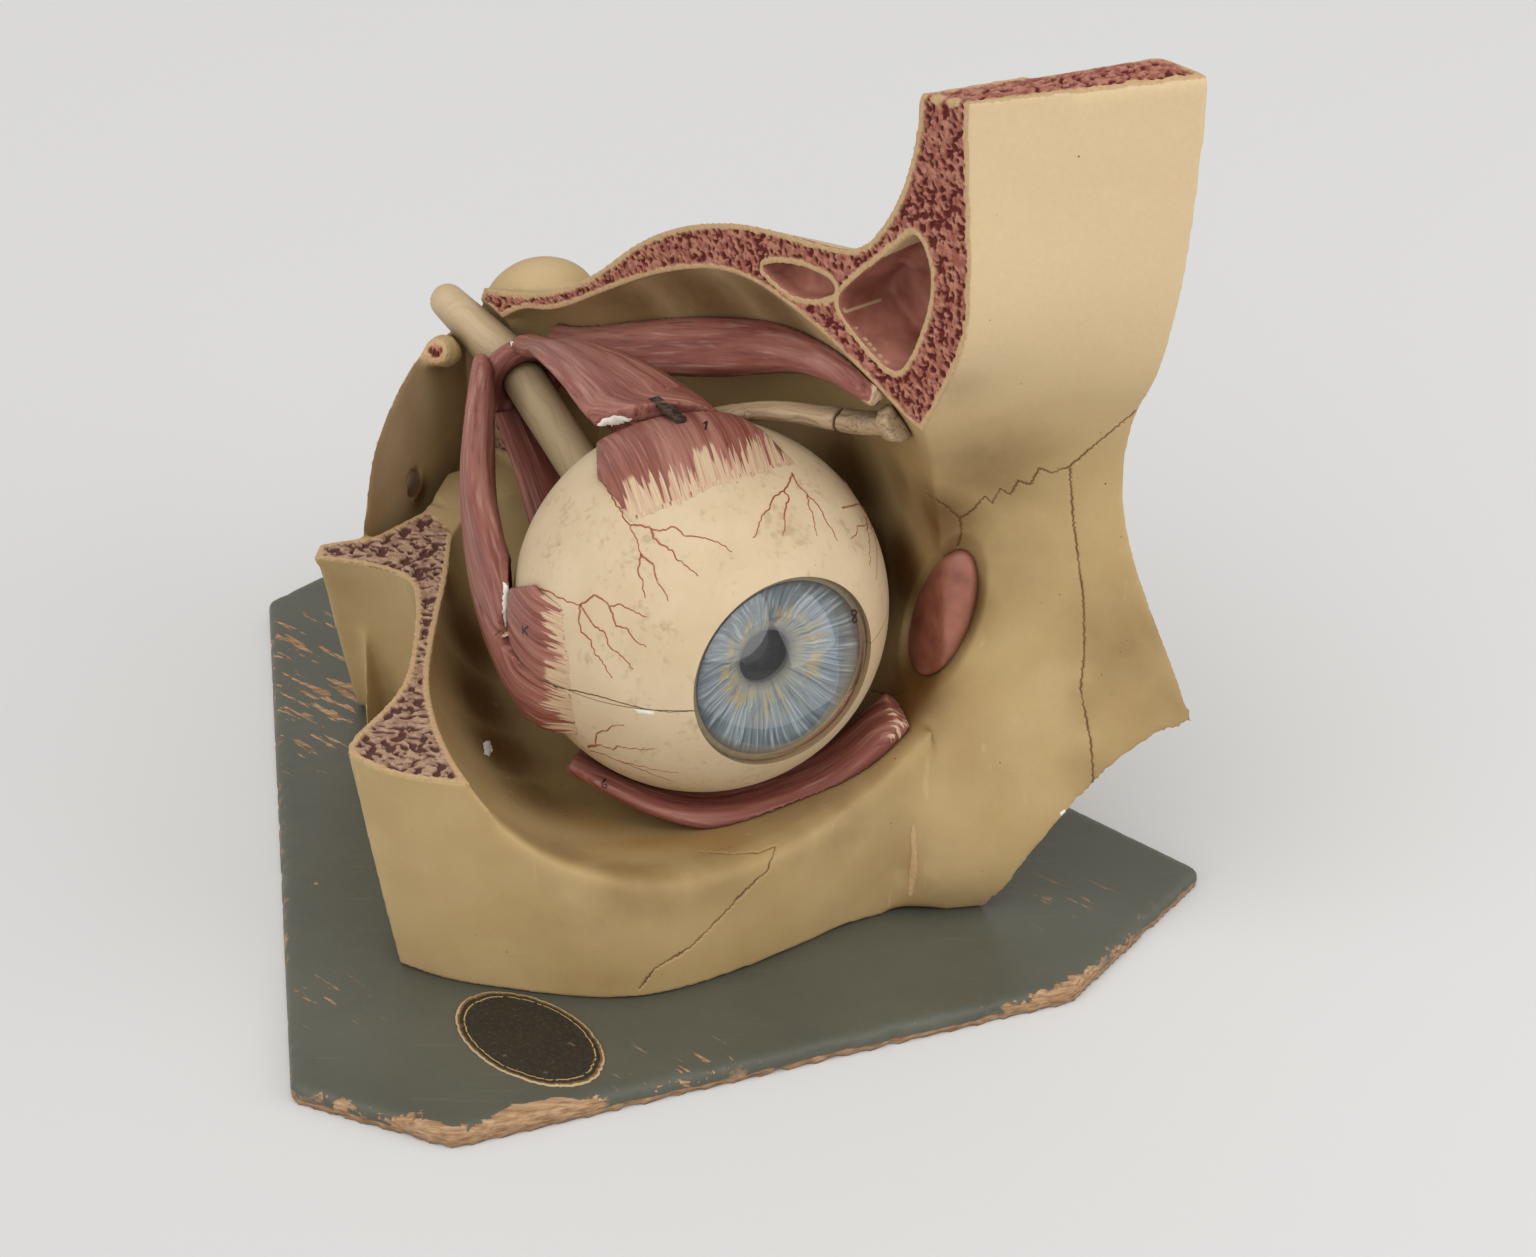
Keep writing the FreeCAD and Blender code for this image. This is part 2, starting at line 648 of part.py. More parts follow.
def make_lens(name, growth):
    """Two balls that meet at the rim of the lens."""
    rim = size("lens_radius")
    front = LENS_PLANE - math.sqrt(size("lens_front_curve") ** 2 - rim ** 2)
    back = LENS_PLANE + math.sqrt(size("lens_back_curve") ** 2 - rim ** 2)
    front_ball = sphere(name + "_front", f"Sizes.lens_front_curve + {growth}", EYE + FORWARD * front)
    back_ball = sphere(name + "_back", f"Sizes.lens_back_curve + {growth}", EYE + FORWARD * back)
    return boolean("Common", name, front_ball, back_ball)


named(make_lens("lens_body", 0), "lens")
CONTENT = "Sizes.eye_radius - Sizes.sclera_wall - Sizes.choroid_wall - Sizes.fit_gap - 0.1"
content = sphere("content", CONTENT)
VITREOUS_FACE = LENS_PLANE + 2.2
vitreous_rest = half_space("vitreous_face", EYE + FORWARD * VITREOUS_FACE, FORWARD * -1)
vitreous = boolean("Common", "vitreous_ball", content, vitreous_rest)
named(boolean("Cut", "vitreous", vitreous, make_lens("lens_room", BOND)), "vitreous_body")
ring_slab = along_gaze("Cylinder", "ciliary_slab", VITREOUS_FACE + BOND, Radius="Sizes.eye_radius",
                       Height="Sizes.ciliary_thickness")
ring_ball = boolean("Common", "ciliary_disc", ring_slab, content)
ring_hole = along_gaze("Cylinder", "ciliary_hole", 0, Radius="Sizes.ciliary_inner_radius", Height="Sizes.eye_radius")
ciliary = cut_in_turn("ciliary", ring_ball, [ring_hole, make_lens("ciliary_lens_room", BOND)])
named(ciliary, "ciliary_ring")

# The room the upper half passes through on its way up, with clearance.
sweep_start = sphere("sweep_start", "Sizes.eye_radius + Sizes.fit_gap + 0.1")
sweep_end = sphere("sweep_end", "Sizes.eye_radius + Sizes.fit_gap + 0.1", EYE + LIFT * size("lift_travel"))
sweep_rod = doc.addObject("Part::Cylinder", "sweep_rod")
bind(sweep_rod, Radius="Sizes.eye_radius + Sizes.fit_gap + 0.1", Height="Sizes.lift_travel")
sweep_rod.Placement = Placement(EYE, Rotation(Vector(0, 0, 1), LIFT))
sweep = boolean("Common", "sweep", fused("sweep_body", [sweep_start, sweep_rod, sweep_end]), above_seam)
globe_skin = sphere("globe_skin", f"Sizes.eye_radius + {BOND}")

# ---------------------------------------------------------------- muscles, nerve and tendons
ROUNDNESS = 2.6
RING_POINTS = 14


def band(name, stations, side):
    """A soft strap lofted through (centre, width, thickness, arch radius or 0) stations.
    The side direction is the width; the section arches around the eyeball by the arch radius."""
    centres = [station[0] for station in stations]
    rings = []
    for index, (centre, width, thickness, arch) in enumerate(stations):
        ahead = centres[min(index + 1, len(centres) - 1)] - centres[max(index - 1, 0)]
        ahead.normalize()
        across = side - ahead * side.dot(ahead)
        across.normalize()
        up = ahead.cross(across)
        outward = up if up.dot(centre - EYE) > 0 else up * -1
        points = []
        for step in range(RING_POINTS):
            angle = 2 * math.pi * step / RING_POINTS
            cosine, sine = math.cos(angle), math.sin(angle)
            u = width / 2 * math.copysign(abs(cosine) ** (2 / ROUNDNESS), cosine)
            v = thickness / 2 * math.copysign(abs(sine) ** (2 / ROUNDNESS), sine)
            bend = u * u / (2 * arch) if arch else 0
            points.append(centre + across * u + outward * (v - bend))
        rings.append(ring_curve(points))
    return feature(name, skinned(rings))


def from_apex(right, back, up):
    return APEX + Vector(right, back, up)


THICK = size("muscle_thickness")
ARCH = RADIUS + THICK / 2
GAZE_SIDE = Vector(1, 0, 0)
UPRIGHT = Vector(0, 0, 1)
CUT_GAP = size("cut_gap")

# Superior rectus: its front end stays on the eyeball, in front of an upright cut.
REAR_OF_CUT = Vector(0.39, 0.92, 0)
SUPERIOR_CUT = near(-2.75, 19, 0)
belly = band("superior_belly_raw", [
    (near(-7, 6, 62.6), 38, THICK, ARCH), (near(-2.75, 19, 60.4), 41, THICK, ARCH),
    (near(-1.5, 42, 58.5), 37, THICK + 1, ARCH * 2), (near(0, 65, 57), 31, THICK + 1, 0),
    (near(3, 98, 51), 22, THICK, 0), (from_apex(-5, -32, 20), 15, THICK, 0),
    (from_apex(-4, -16, 16.5), 11, THICK, 0)], Vector(0.92, -0.39, 0))
belly_room = half_space("behind_superior_cut", SUPERIOR_CUT + REAR_OF_CUT * CUT_GAP, REAR_OF_CUT)
belly = boolean("Common", "superior_belly", belly, belly_room)
belly = boolean("Cut", "superior_belly_seated", belly, sweep_start)


HOOK_AT = near(-2.2, 19, 62.2)


def make_hook(name, growth):
    """A bent strap: its tail lies in the belly, it bridges the cut and its tip drops into the front end."""
    width = size("hook_width") + growth * 2
    thickness, reach, tip = size("hook_thickness"), size("hook_reach"), size("hook_tip")
    lengths = []
    for length, bottom in ((reach + size("hook_tail"), 0), (thickness, -tip)):
        box = Part.makeBox(width, length + growth * 2, thickness - bottom + growth * 2)
        box.translate(Vector(-width / 2, -reach - growth, bottom - growth))
        lengths.append(box)
    hook = lengths[0].fuse(lengths[1:]).removeSplitter()
    return feature(name, hook, Placement(HOOK_AT, Rotation()))


hook = named(make_hook("hook", 0), "hook_strap")
hook_room = make_hook("hook_room", GAP)
named(boolean("Cut", "superior_belly_slotted", belly, hook), "superior_rectus")


def patch(name, corners, direction, depth_cell, room, reach=2.0):
    """A thin insertion on the eyeball inside an outline that is pushed along the direction."""
    shift = direction * RADIUS * reach
    rim = outline([(False, corners + [corners[0]])])
    prism = feature(name + "_prism", Part.Face(rim).extrude(shift))
    shell = boolean("Cut", name + "_shell", sphere(name + "_outside", f"Sizes.eye_radius + {depth_cell}"), globe_skin)
    piece = boolean("Common", name + "_piece", shell, prism)
    return boolean("Common", name, piece, room)


superior_end = patch("superior_end", [near(-22, 27, 0), near(-33, 6, 0), near(-35, -18, 0), near(-20, -24, 0),
                                      near(5, -25, 0), near(24, -20, 0), near(17, 11, 0)],
                     UPRIGHT, "Sizes.insertion_thickness", above_gap)
named(boolean("Cut", "superior_end_slotted", superior_end, hook_room), "superior_insertion")
TEMPORAL = Vector(-1, 0, 0)
named(patch("lateral_end", [near(0, 21, -20), near(0, 21, 12), near(0, 4, 21), near(0, -12, 20), near(0, -19, 4),
                            near(0, -18, -20)], TEMPORAL, "Sizes.insertion_thickness", above_gap),
      "lateral_insertion_upper")
NASAL = Vector(1, 0, 0)
named(patch("medial_end", [near(0, 20, -20), near(0, 20, 20), near(0, 8, 30), near(0, -10, 32), near(0, -14, 10),
                           near(0, -10, -20)], NASAL, "Sizes.insertion_thickness", above_gap),
      "medial_insertion_upper")

# The other rectus bellies run on below the seam, onto the lower half.
low_front = doc.addObject("Part::Box", "room_before_cuts")
low_front.Length = low_front.Width = low_front.Height = 2 * FAR
low_front.Placement = Placement(Vector(-FAR, near(0, 21, 0).y + CUT_GAP - 2 * FAR, 0), Rotation())
front_above = boolean("Common", "front_above_seam", low_front, above_seam)


NERVE_START = EYE + Vector(2, RADIUS - 6, 0)
nerve_way = (APEX - NERVE_START).normalize()
ring = doc.addObject("Part::Torus", "ring")
bind(ring, Radius1=f"Sizes.nerve_radius + Sizes.ring_tube + {BOND}", Radius2="Sizes.ring_tube")
ring.Placement = Placement(APEX - nerve_way * (size("ring_tube") + 2), Rotation(Vector(0, 0, 1), nerve_way))
named(ring, "tendinous_ring")


def fixed_muscle(name, raw, extra=()):
    inside = boolean("Common", name + "_in_orbit", raw, orbit_hollow)
    return cut_in_turn(name, inside, [globe_skin, sweep, ring, *extra])


lateral = fixed_muscle("lateral", band("lateral_raw", [
    (near(-57, -17, -17), 22, 3.6, ARCH), (near(-60.5, 2, -13), 36, 4.4, ARCH),
    (near(-58.5, 21, -10), 46, THICK * 1.3, ARCH), (near(-52, 46, -2), 42, THICK * 2, ARCH * 2),
    (near(-39, 80, 10), 31, THICK * 2, 0), (near(-20, 115, 20), 20, THICK * 1.8, 0),
    (from_apex(-14, -3, 4), 12, THICK * 1.3, 0)], UPRIGHT), [front_above])
medial = fixed_muscle("medial", band("medial_raw", [
    (near(58, -10, -16), 20, 3.6, ARCH), (near(60.5, 4, -12), 34, 4.4, ARCH),
    (near(59.5, 20, -4), 40, THICK, ARCH), (near(53, 48, 8), 36, THICK, 0),
    (near(37, 90, 16), 25, THICK, 0), (near(24, 125, 20), 16, THICK, 0),
    (from_apex(15, -3, 0), 11, THICK, 0)], UPRIGHT), [front_above])
inferior = fixed_muscle("inferior", band("inferior_raw", [
    (near(-3, -8, -61.5), 26, 3.6, ARCH), (near(-3, 15, -61), 34, 5, ARCH),
    (near(-4, 42, -50), 32, 5, ARCH * 2), (near(-5, 72, -32), 26, 5, 0),
    (near(2, 110, -8), 17, 5, 0), (from_apex(-5, -3, -12), 12, 5, 0)], GAZE_SIDE))
named(lateral, "lateral_rectus")
named(medial, "medial_rectus")

lower_oblique = fixed_muscle("lower_oblique", band("lower_oblique_raw", [
    (near(-44, 5, -45), 16, 6, 0), (near(-22, -19, -62), 20, 8, 0), (near(18, -30, -60), 21, 9, 0),
    (near(37, -38, -45), 20, 9, 0), (near(48, -43, -32), 16, 9, 0)], Vector(0.3, 0.9, 0.3)))
named(lower_oblique, "inferior_oblique")
named(boolean("Cut", "inferior_free", inferior, lower_oblique), "inferior_rectus")


def on_wall(behind, degrees, inset):
    """A place inside the orbit, the inset away from its wall."""
    behind_all = [station[0] for station in ORBIT_STATIONS]
    after = next(i for i, distance in enumerate(behind_all) if distance >= behind)
    first, last = ORBIT_STATIONS[after - 1], ORBIT_STATIONS[after]
    share = (behind - first[0]) / (last[0] - first[0])
    station = tuple(a + (b - a) * share for a, b in zip(first, last))
    wall = orbit_point(station, math.radians(degrees))
    centre = EYE + Vector(station[1], station[0], station[2])
    return wall + (centre - wall).normalize() * inset


upper_oblique = fixed_muscle("upper_oblique", band("upper_oblique_raw", [
    (on_wall(-39, 44, 2), 7, 5, 0), (on_wall(-28, 44, 2.5), 9, 6, 0), (on_wall(-10, 42, 3), 11, 7, 0),
    (on_wall(20, 38, 4.5), 14.5, 9, 0), (on_wall(55, 37, 7.5), 22, 12, 0), (on_wall(95, 38, 7), 20, 11, 0),
    (on_wall(125, 38, 5), 15, 9, 0), (on_wall(142, 38, 4), 10, 7, 0)], Vector(0.6, 0, 0.8)))
named(upper_oblique, "superior_oblique")

# Tendon of the superior oblique, from the eyeball to the pulley, parted by an upright cut.
PULLEY = on_wall(-42, 38, 2)
TENDON_CUT = near(46, -10, 58)
TENDON_TURN = Vector(0.5, -0.866, 0)
pulley_half = (PULLEY - TENDON_CUT).normalize() * size("pulley_length") / 2
pulley_sleeve = nerve_length("pulley_sleeve", "Sizes.pulley_radius", PULLEY - pulley_half, PULLEY + pulley_half)
tendon_path = [(near(20, 30, 49), 1.15, 0.5), (near(30, 12, 57), 1.1, 0.8), (TENDON_CUT, 1, 1),
               ((TENDON_CUT + PULLEY) / 2 + Vector(-0.5, 0, -1), 0.95, 1), (PULLEY, 0.95, 0.95)]
tendon = band("tendon_raw", [(centre, wide * size("tendon_width"), thick * size("tendon_thickness"), 0)
                             for centre, wide, thick in tendon_path], Vector(0.75, 0.6, 0))
tendon_low = boolean("Common", "tendon_low", tendon,
                     half_space("eye_side_of_tendon_cut", TENDON_CUT, TENDON_TURN * -1))
named(cut_in_turn("tendon_low_free", tendon_low, [globe_skin, superior_end]), "oblique_tendon")
tendon_high = boolean("Common", "tendon_high", tendon,
                      half_space("pulley_side_of_tendon_cut", TENDON_CUT + TENDON_TURN * CUT_GAP, TENDON_TURN))
tendon_high = boolean("Common", "tendon_high_inside", tendon_high, orbit_hollow)
pulley = boolean("Common", "pulley_inside", pulley_sleeve, orbit_hollow)
named(boolean("Cut", "pulley", pulley, upper_oblique), "trochlea")
named(cut_in_turn("tendon_high_free", tendon_high, [upper_oblique, pulley_sleeve]), "trochlear_tendon")

# Optic nerve, its ring of muscle ends and the part behind the orbit.
nerve = nerve_length("nerve_rod", "Sizes.nerve_radius", NERVE_START, APEX)
nerve = cut_in_turn("nerve", nerve, [globe_skin, sweep])
taper = doc.addObject("Part::Cone", "stub_taper")
bind(taper, Radius1="Sizes.stub_root_radius", Radius2="Sizes.stub_tip_radius")
taper.Height = (NERVE_END - APEX).Length
taper.Placement = Placement(APEX, Rotation(Vector(0, 0, 1), NERVE_END - APEX))
stub_body = fused("stub_body", [taper, sphere("stub_end", "Sizes.stub_tip_radius", NERVE_END)])
stub = boolean("Cut", "stub", stub_body, nerve)
named(nerve, "optic_nerve")
named(stub, "optic_nerve_stub")

# ---------------------------------------------------------------- check and export
doc.recompute()
for obj in doc.Objects:
    if "Invalid" in obj.State or "Error" in obj.State:
        raise RuntimeError(f"{obj.Name} did not recompute: {obj.State}")
for obj in parts:
    if obj.Shape.isNull() or not obj.Shape.isValid():
        raise RuntimeError(f"{obj.Label} has no valid shape")
os.makedirs("parts", exist_ok=True)
for obj in parts:
    obj.Shape.exportStep(f"parts/{obj.Label}.step")
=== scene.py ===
import itertools
import math

import bmesh
import bpy
import numpy as np
from mathutils import Matrix, Vector, noise
from mathutils.bvhtree import BVHTree
from mathutils.kdtree import KDTree


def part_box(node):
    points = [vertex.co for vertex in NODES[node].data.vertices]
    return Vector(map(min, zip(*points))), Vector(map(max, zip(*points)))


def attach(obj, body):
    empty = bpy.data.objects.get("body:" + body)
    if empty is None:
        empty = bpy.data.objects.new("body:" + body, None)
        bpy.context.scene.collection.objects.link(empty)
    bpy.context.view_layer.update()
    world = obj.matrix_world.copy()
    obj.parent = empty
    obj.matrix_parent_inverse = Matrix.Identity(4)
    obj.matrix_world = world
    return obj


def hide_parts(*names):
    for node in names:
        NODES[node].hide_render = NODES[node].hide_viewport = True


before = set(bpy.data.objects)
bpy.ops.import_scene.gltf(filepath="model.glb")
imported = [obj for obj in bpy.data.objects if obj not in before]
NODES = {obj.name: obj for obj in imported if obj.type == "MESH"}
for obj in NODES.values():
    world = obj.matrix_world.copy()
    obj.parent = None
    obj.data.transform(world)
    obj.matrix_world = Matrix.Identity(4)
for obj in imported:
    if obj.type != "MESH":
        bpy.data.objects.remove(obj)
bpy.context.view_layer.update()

MM = 0.001
EYE = Vector((0, 0, 107)) * MM
RADIUS = 60 * MM
APEX = Vector((12, 150, 128)) * MM
ACROSS = Vector((0.99027, 0.13917, 0.0))
ALONG = Vector((-0.13917, 0.99027, 0.0))
ROOF_SAW = 34.8 * MM
LATERAL_SAW = 87 * MM
FOREHEAD_BREAK = 284 * MM
STRUT_AIM = Vector((-0.78, -0.52, 0.35)).normalized()
STRUT_END = Vector((-4, 166, 132)) * MM + STRUT_AIM * 13 * MM

# ---------------------------------------------------------------- camera, light, floor
CAMERA_AT = Vector((-486.8, -851.7, 641.7)) * MM
CAMERA_RIGHT = Vector((0.8571673, -0.5150381, 0.0))
CAMERA_UP = Vector((0.2496954, 0.4155630, 0.8746197))
CAMERA_BACK = Vector((-0.4504625, -0.7496954, 0.4848096))
FOCAL_PIXELS = 3500.0
MIDDLE_PIXEL = (768.0, 628.5)
WORLD_LIGHT = 0.56
KEY_LIGHT = 1.8
WINDOW_POWER = 7.0
FLOOR_COLOUR = (0.635, 0.634, 0.63, 1.0)
FLOOR_GLOW = 0.06
FLOOR_REACH = 7.0


def link(name, data):
    thing = bpy.data.objects.new(name, data)
    bpy.context.collection.objects.link(thing)
    return thing


def add_camera():
    data = bpy.data.cameras.new("camera")
    data.sensor_width = 36.0
    data.lens = 82.03
    data.clip_start = 0.01
    data.clip_end = 50
    camera = link("camera", data)
    axes = Matrix((CAMERA_RIGHT, CAMERA_UP, CAMERA_BACK)).transposed()
    camera.matrix_world = Matrix.Translation(CAMERA_AT) @ axes.to_4x4()
    bpy.context.scene.camera = camera
    bpy.context.scene.view_settings.view_transform = "Standard"


def add_light(name, kind, at, target, power, **settings):
    """A lamp at one place that shines towards another."""
    data = bpy.data.lights.new(name, kind)
    data.energy = power
    for key, value in settings.items():
        setattr(data, key, value)
    at = Vector(at)
    turn = (at - Vector(target)).to_track_quat("Z", "Y").to_matrix().to_4x4()
    link(name, data).matrix_world = Matrix.Translation(at) @ turn


def add_world():
    """Even light all round. The camera and clear glass see the studio's pale backdrop."""
    world = bpy.data.worlds.new("studio")
    bpy.context.scene.world = world
    world.use_nodes = True
    g = Graph(world.node_tree)
    seen = g.ray("Camera").maths("ADD", g.ray("Transmission"), use_clamp=True)
    lighting = g.add("ShaderNodeBackground", {"Color": (1.0, 0.99, 0.97, 1.0), "Strength": WORLD_LIGHT})
    backdrop = g.add("ShaderNodeBackground", {"Color": tone((228, 227, 225))})
    mix = g.add("ShaderNodeMixShader", {0: seen, 1: lighting, 2: backdrop})
    g.add("ShaderNodeOutputWorld", {"Surface": mix})


def add_floor():
    """The pale studio table, wide enough to fill the view."""
    mesh = bpy.data.meshes.new("floor")
    corners = [(x * FLOOR_REACH, y * FLOOR_REACH, 0) for x, y in ((-1, -1), (1, -1), (1, 1), (-1, 1))]
    mesh.from_pydata(corners, [], [(0, 1, 2, 3)])
    p = Paint("floor_paper")
    colour = p.mix(p.noise(60, 3) * 0.06, FLOOR_COLOUR, (210, 209, 206))
    seen = p.ray("Glossy") | p.ray("Transmission") | p.ray("Camera")
    p.surface(colour, 0.9, p.noise(3, 3), 0.05, 0.2, Specular_IOR_Level=0.1,
              Emission_Color=(1.0, 0.995, 0.98, 1.0), Emission_Strength=seen * FLOOR_GLOW)
    mesh.materials.append(PAINTS["floor_paper"])
    link("floor", mesh)


# ---------------------------------------------------------------- materials
PAINTS = {}


def tone(colour):
    """A screen colour, 0 to 255, as the shader's own linear colour. Anything else stays as it is."""
    if not isinstance(colour, tuple) or len(colour) != 3:
        return colour
    shares = [c / 255 for c in colour]
    return (*(s / 12.92 if s < 0.04045 else ((s + 0.055) / 1.055) ** 2.4 for s in shares), 1.0)


class Wire:
    """The output of a node. Sums and products add a node, and a | b is the larger of the two."""

    def __init__(self, graph, socket):
        self.graph, self.socket = graph, socket

    def maths(self, operation, other, **settings):
        return self.graph.add("ShaderNodeMath", {0: self, 1: other}, operation=operation, **settings)

    def __add__(self, other):
        return self.maths("ADD", other)

    def __sub__(self, other):
        return self.maths("SUBTRACT", other)

    def __rsub__(self, other):
        return self.graph.add("ShaderNodeMath", {0: other, 1: self}, operation="SUBTRACT")

    def __mul__(self, other):
        return self.maths("MULTIPLY", other)

    def __or__(self, other):
        return self.maths("MAXIMUM", other)


class Graph:
    """A node tree. Each call adds a node and gives its output as a wire."""

    def __init__(self, tree):
        self.nodes, self.links = tree.nodes, tree.links
        self.nodes.clear()

    def add(self, kind, inputs, output=0, **settings):
        made = self.nodes.new(kind)
        for name, value in settings.items():
            setattr(made, name, value)
        for name, value in inputs.items():
            if isinstance(value, Wire):
                self.links.new(value.socket, made.inputs[name])
            else:
                made.inputs[name].default_value = value
        return Wire(self, made.outputs[output]) if len(made.outputs) else None

    def ray(self, kind):
        return self.add("ShaderNodeLightPath", {}, f"Is {kind} Ray")


class Paint(Graph):
    """A procedural material. Sizes are in millimetres and colours as they are picked on a screen."""

    def __init__(self, name):
        PAINTS[name] = bpy.data.materials.new(name)
        PAINTS[name].use_nodes = True
        super().__init__(PAINTS[name].node_tree)
        self.place = self.scaled(self.add("ShaderNodeTexCoord", {}, "Object"), 1000, 1000, 1000)

    def scaled(self, vector, x, y, z):
        return self.add("ShaderNodeVectorMath", {0: vector, 1: (x, y, z)}, operation="MULTIPLY")

    def turned(self, angle):
        return self.add("ShaderNodeVectorRotate", {"Vector": self.place, "Angle": angle}, rotation_type="Z_AXIS")

    def level(self):
        return self.add("ShaderNodeSeparateXYZ", {"Vector": self.place}, "Z")

    def noise(self, size, detail=3.0, at=None, roughness=0.55):
        inputs = {"Vector": at or self.place, "Scale": 1 / size, "Detail": detail, "Roughness": roughness}
        return self.add("ShaderNodeTexNoise", inputs)

    def cells(self, size):
        return self.add("ShaderNodeTexVoronoi", {"Vector": self.place, "Scale": 1 / size})

    def mark(self, name, output="Fac"):
        """What the shape's own attribute of that name says."""
        return self.add("ShaderNodeAttribute", {}, output, attribute_name=name)

    def between(self, value, low, high):
        """0 below low, 1 above high, smooth between; the other way round when low is above high."""
        inputs = {"Value": value, "From Min": low, "From Max": high}
        return self.add("ShaderNodeMapRange", inputs, interpolation_type="SMOOTHSTEP")

    def mix(self, share, a, b):
        return self.add("ShaderNodeMix", {0: share, 6: tone(a), 7: tone(b)}, 2, data_type="RGBA")

    def layers(self, colour, *coats):
        """A colour under further coats, each a (share, colour)."""
        for share, coat in coats:
            colour = self.mix(share, colour, coat)
        return colour

    def ramp(self, value, *stops):
        """Colours by a value, each stop a (value, colour)."""
        made = self.nodes.new("ShaderNodeValToRGB")
        steps = made.color_ramp.elements
        for _ in stops[2:]:
            steps.new(0.5)
        for step, (position, colour) in zip(steps, stops):
            step.position = position
            step.color = tone(colour)
        self.links.new(value.socket, made.inputs[0])
        return Wire(self, made.outputs[0])

    def hollows(self, reach):
        """1 in a corner or under an edge, 0 in the open, by how much sky is hidden within reach."""
        return 1.0 - self.add("ShaderNodeAmbientOcclusion", {"Distance": reach * MM}, "AO", samples=6)

    def surface(self, colour, roughness, height, depth, strength, **extra):
        """The finished Principled surface, with height as its relief of that depth in millimetres."""
        relief = {"Height": height, "Distance": depth * MM, "Strength": strength}
        inputs = {"Base Color": colour, "Roughness": roughness, "Normal": self.add("ShaderNodeBump", relief)}
        inputs.update({name.replace("_", " "): value for name, value in extra.items()})
        self.finish(self.add("ShaderNodeBsdfPrincipled", inputs))

    def finish(self, shader):
        self.add("ShaderNodeOutputMaterial", {"Surface": shader})


def bone_paint():
    """Buff oil paint with brown airbrushing and painted shade, red marrow in the sawn faces and pink air cells."""
    p = Paint("bone_paint")
    fine = p.noise(1.6, 4)
    # painted light: the pale mark brightens patches as a light from the left front would; the buff also turns paler
    # towards the top
    pale = p.between(p.level(), 150, 235) | p.mark("pale")
    # painted shade: darker in hollows and under edges, and in the stain spots, which are partly brown airbrushing
    # and partly painted shade in recesses; less of it where painted light lies
    shade = p.between(p.hollows(22) * 0.35 + p.mark("stain") + p.noise(9, 4) * 0.22, 0.14, 1.15)
    shade = shade * p.between(p.mark("pale"), 1.3, 0.2)
    specks = p.between(p.cells(4.2), 0.10, 0.045) * p.between(p.noise(14, 2), 0.55, 0.68)
    wear = p.between(p.noise(5, 5, p.scaled(p.place, 1, 1, 0.12)), 0.66, 0.76)
    buff = p.ramp(p.noise(45, 3), (0.3, (172, 144, 98)), (0.5, (180, 154, 108)), (0.72, (190, 164, 120)))
    buff = p.layers(buff, (pale, (212, 188, 150)), (fine * 0.22, (158, 130, 86)), (p.mark("ochre"), (170, 128, 66)),
                    (shade, (94, 64, 30)), (specks, (84, 56, 30)), (wear * 0.3, (206, 184, 144)))
    red = p.mark("red")
    deeper = p.mix(red, (148, 116, 96), (146, 84, 70))
    pit = p.mix(red, (92, 58, 52), (100, 38, 34))
    marrow = p.layers(p.mix(red, (178, 146, 120), (178, 122, 102)), (p.between(p.noise(2.6, 4), 0.38, 0.62), deeper),
                      (p.between(p.mark("pit"), 0.3, 0.85), pit))
    rim = p.mix(p.between(p.noise(1.5), 0.4, 0.7), (192, 162, 120), (182, 146, 110))
    sinus = p.ramp(p.noise(12, 3), (0.3, (134, 80, 66)), (0.7, (176, 120, 104)))
    colour = p.layers(buff, (p.mark("sawn"), p.mix(p.mark("inner"), rim, marrow)), (p.mark("sinus"), sinus),
                      (p.between(p.mark("crack"), 0.3, 1.1), (82, 52, 26)))
    p.surface(colour, p.noise(6, 3) * 0.25 + 0.38, fine + p.noise(0.5, 2) * 0.4, 0.14, 0.5, Specular_IOR_Level=0.2)


def sclera_paint():
    """Cream satin enamel, warm blotches, faint rubbed marks, a few dark specks and painted shade in its crevices."""
    p = Paint("sclera_paint")
    grime = p.between(p.noise(11, 5) * p.noise(2.5, 4), 0.27, 0.45)
    specks = p.between(p.cells(5.5), 0.055, 0.03) * p.between(p.noise(17, 1), 0.5, 0.6)
    cream = p.ramp(p.noise(28, 3), (0.3, (200, 177, 143)), (0.7, (213, 193, 161)))
    # painted shade: brown in the crevices, by the hollows term
    cream = p.layers(cream, (p.noise(2.2, 5) * 0.16, (176, 148, 112)), (grime * 0.4, (150, 122, 88)),
                     (p.hollows(9) * 0.8, (122, 88, 54)), (specks, (96, 68, 44)))
    p.surface(cream, p.noise(5, 4) * 0.25 + 0.3, p.noise(2.4, 3) + p.noise(0.6) * 0.3, 0.08, 0.35,
              Specular_IOR_Level=0.2)


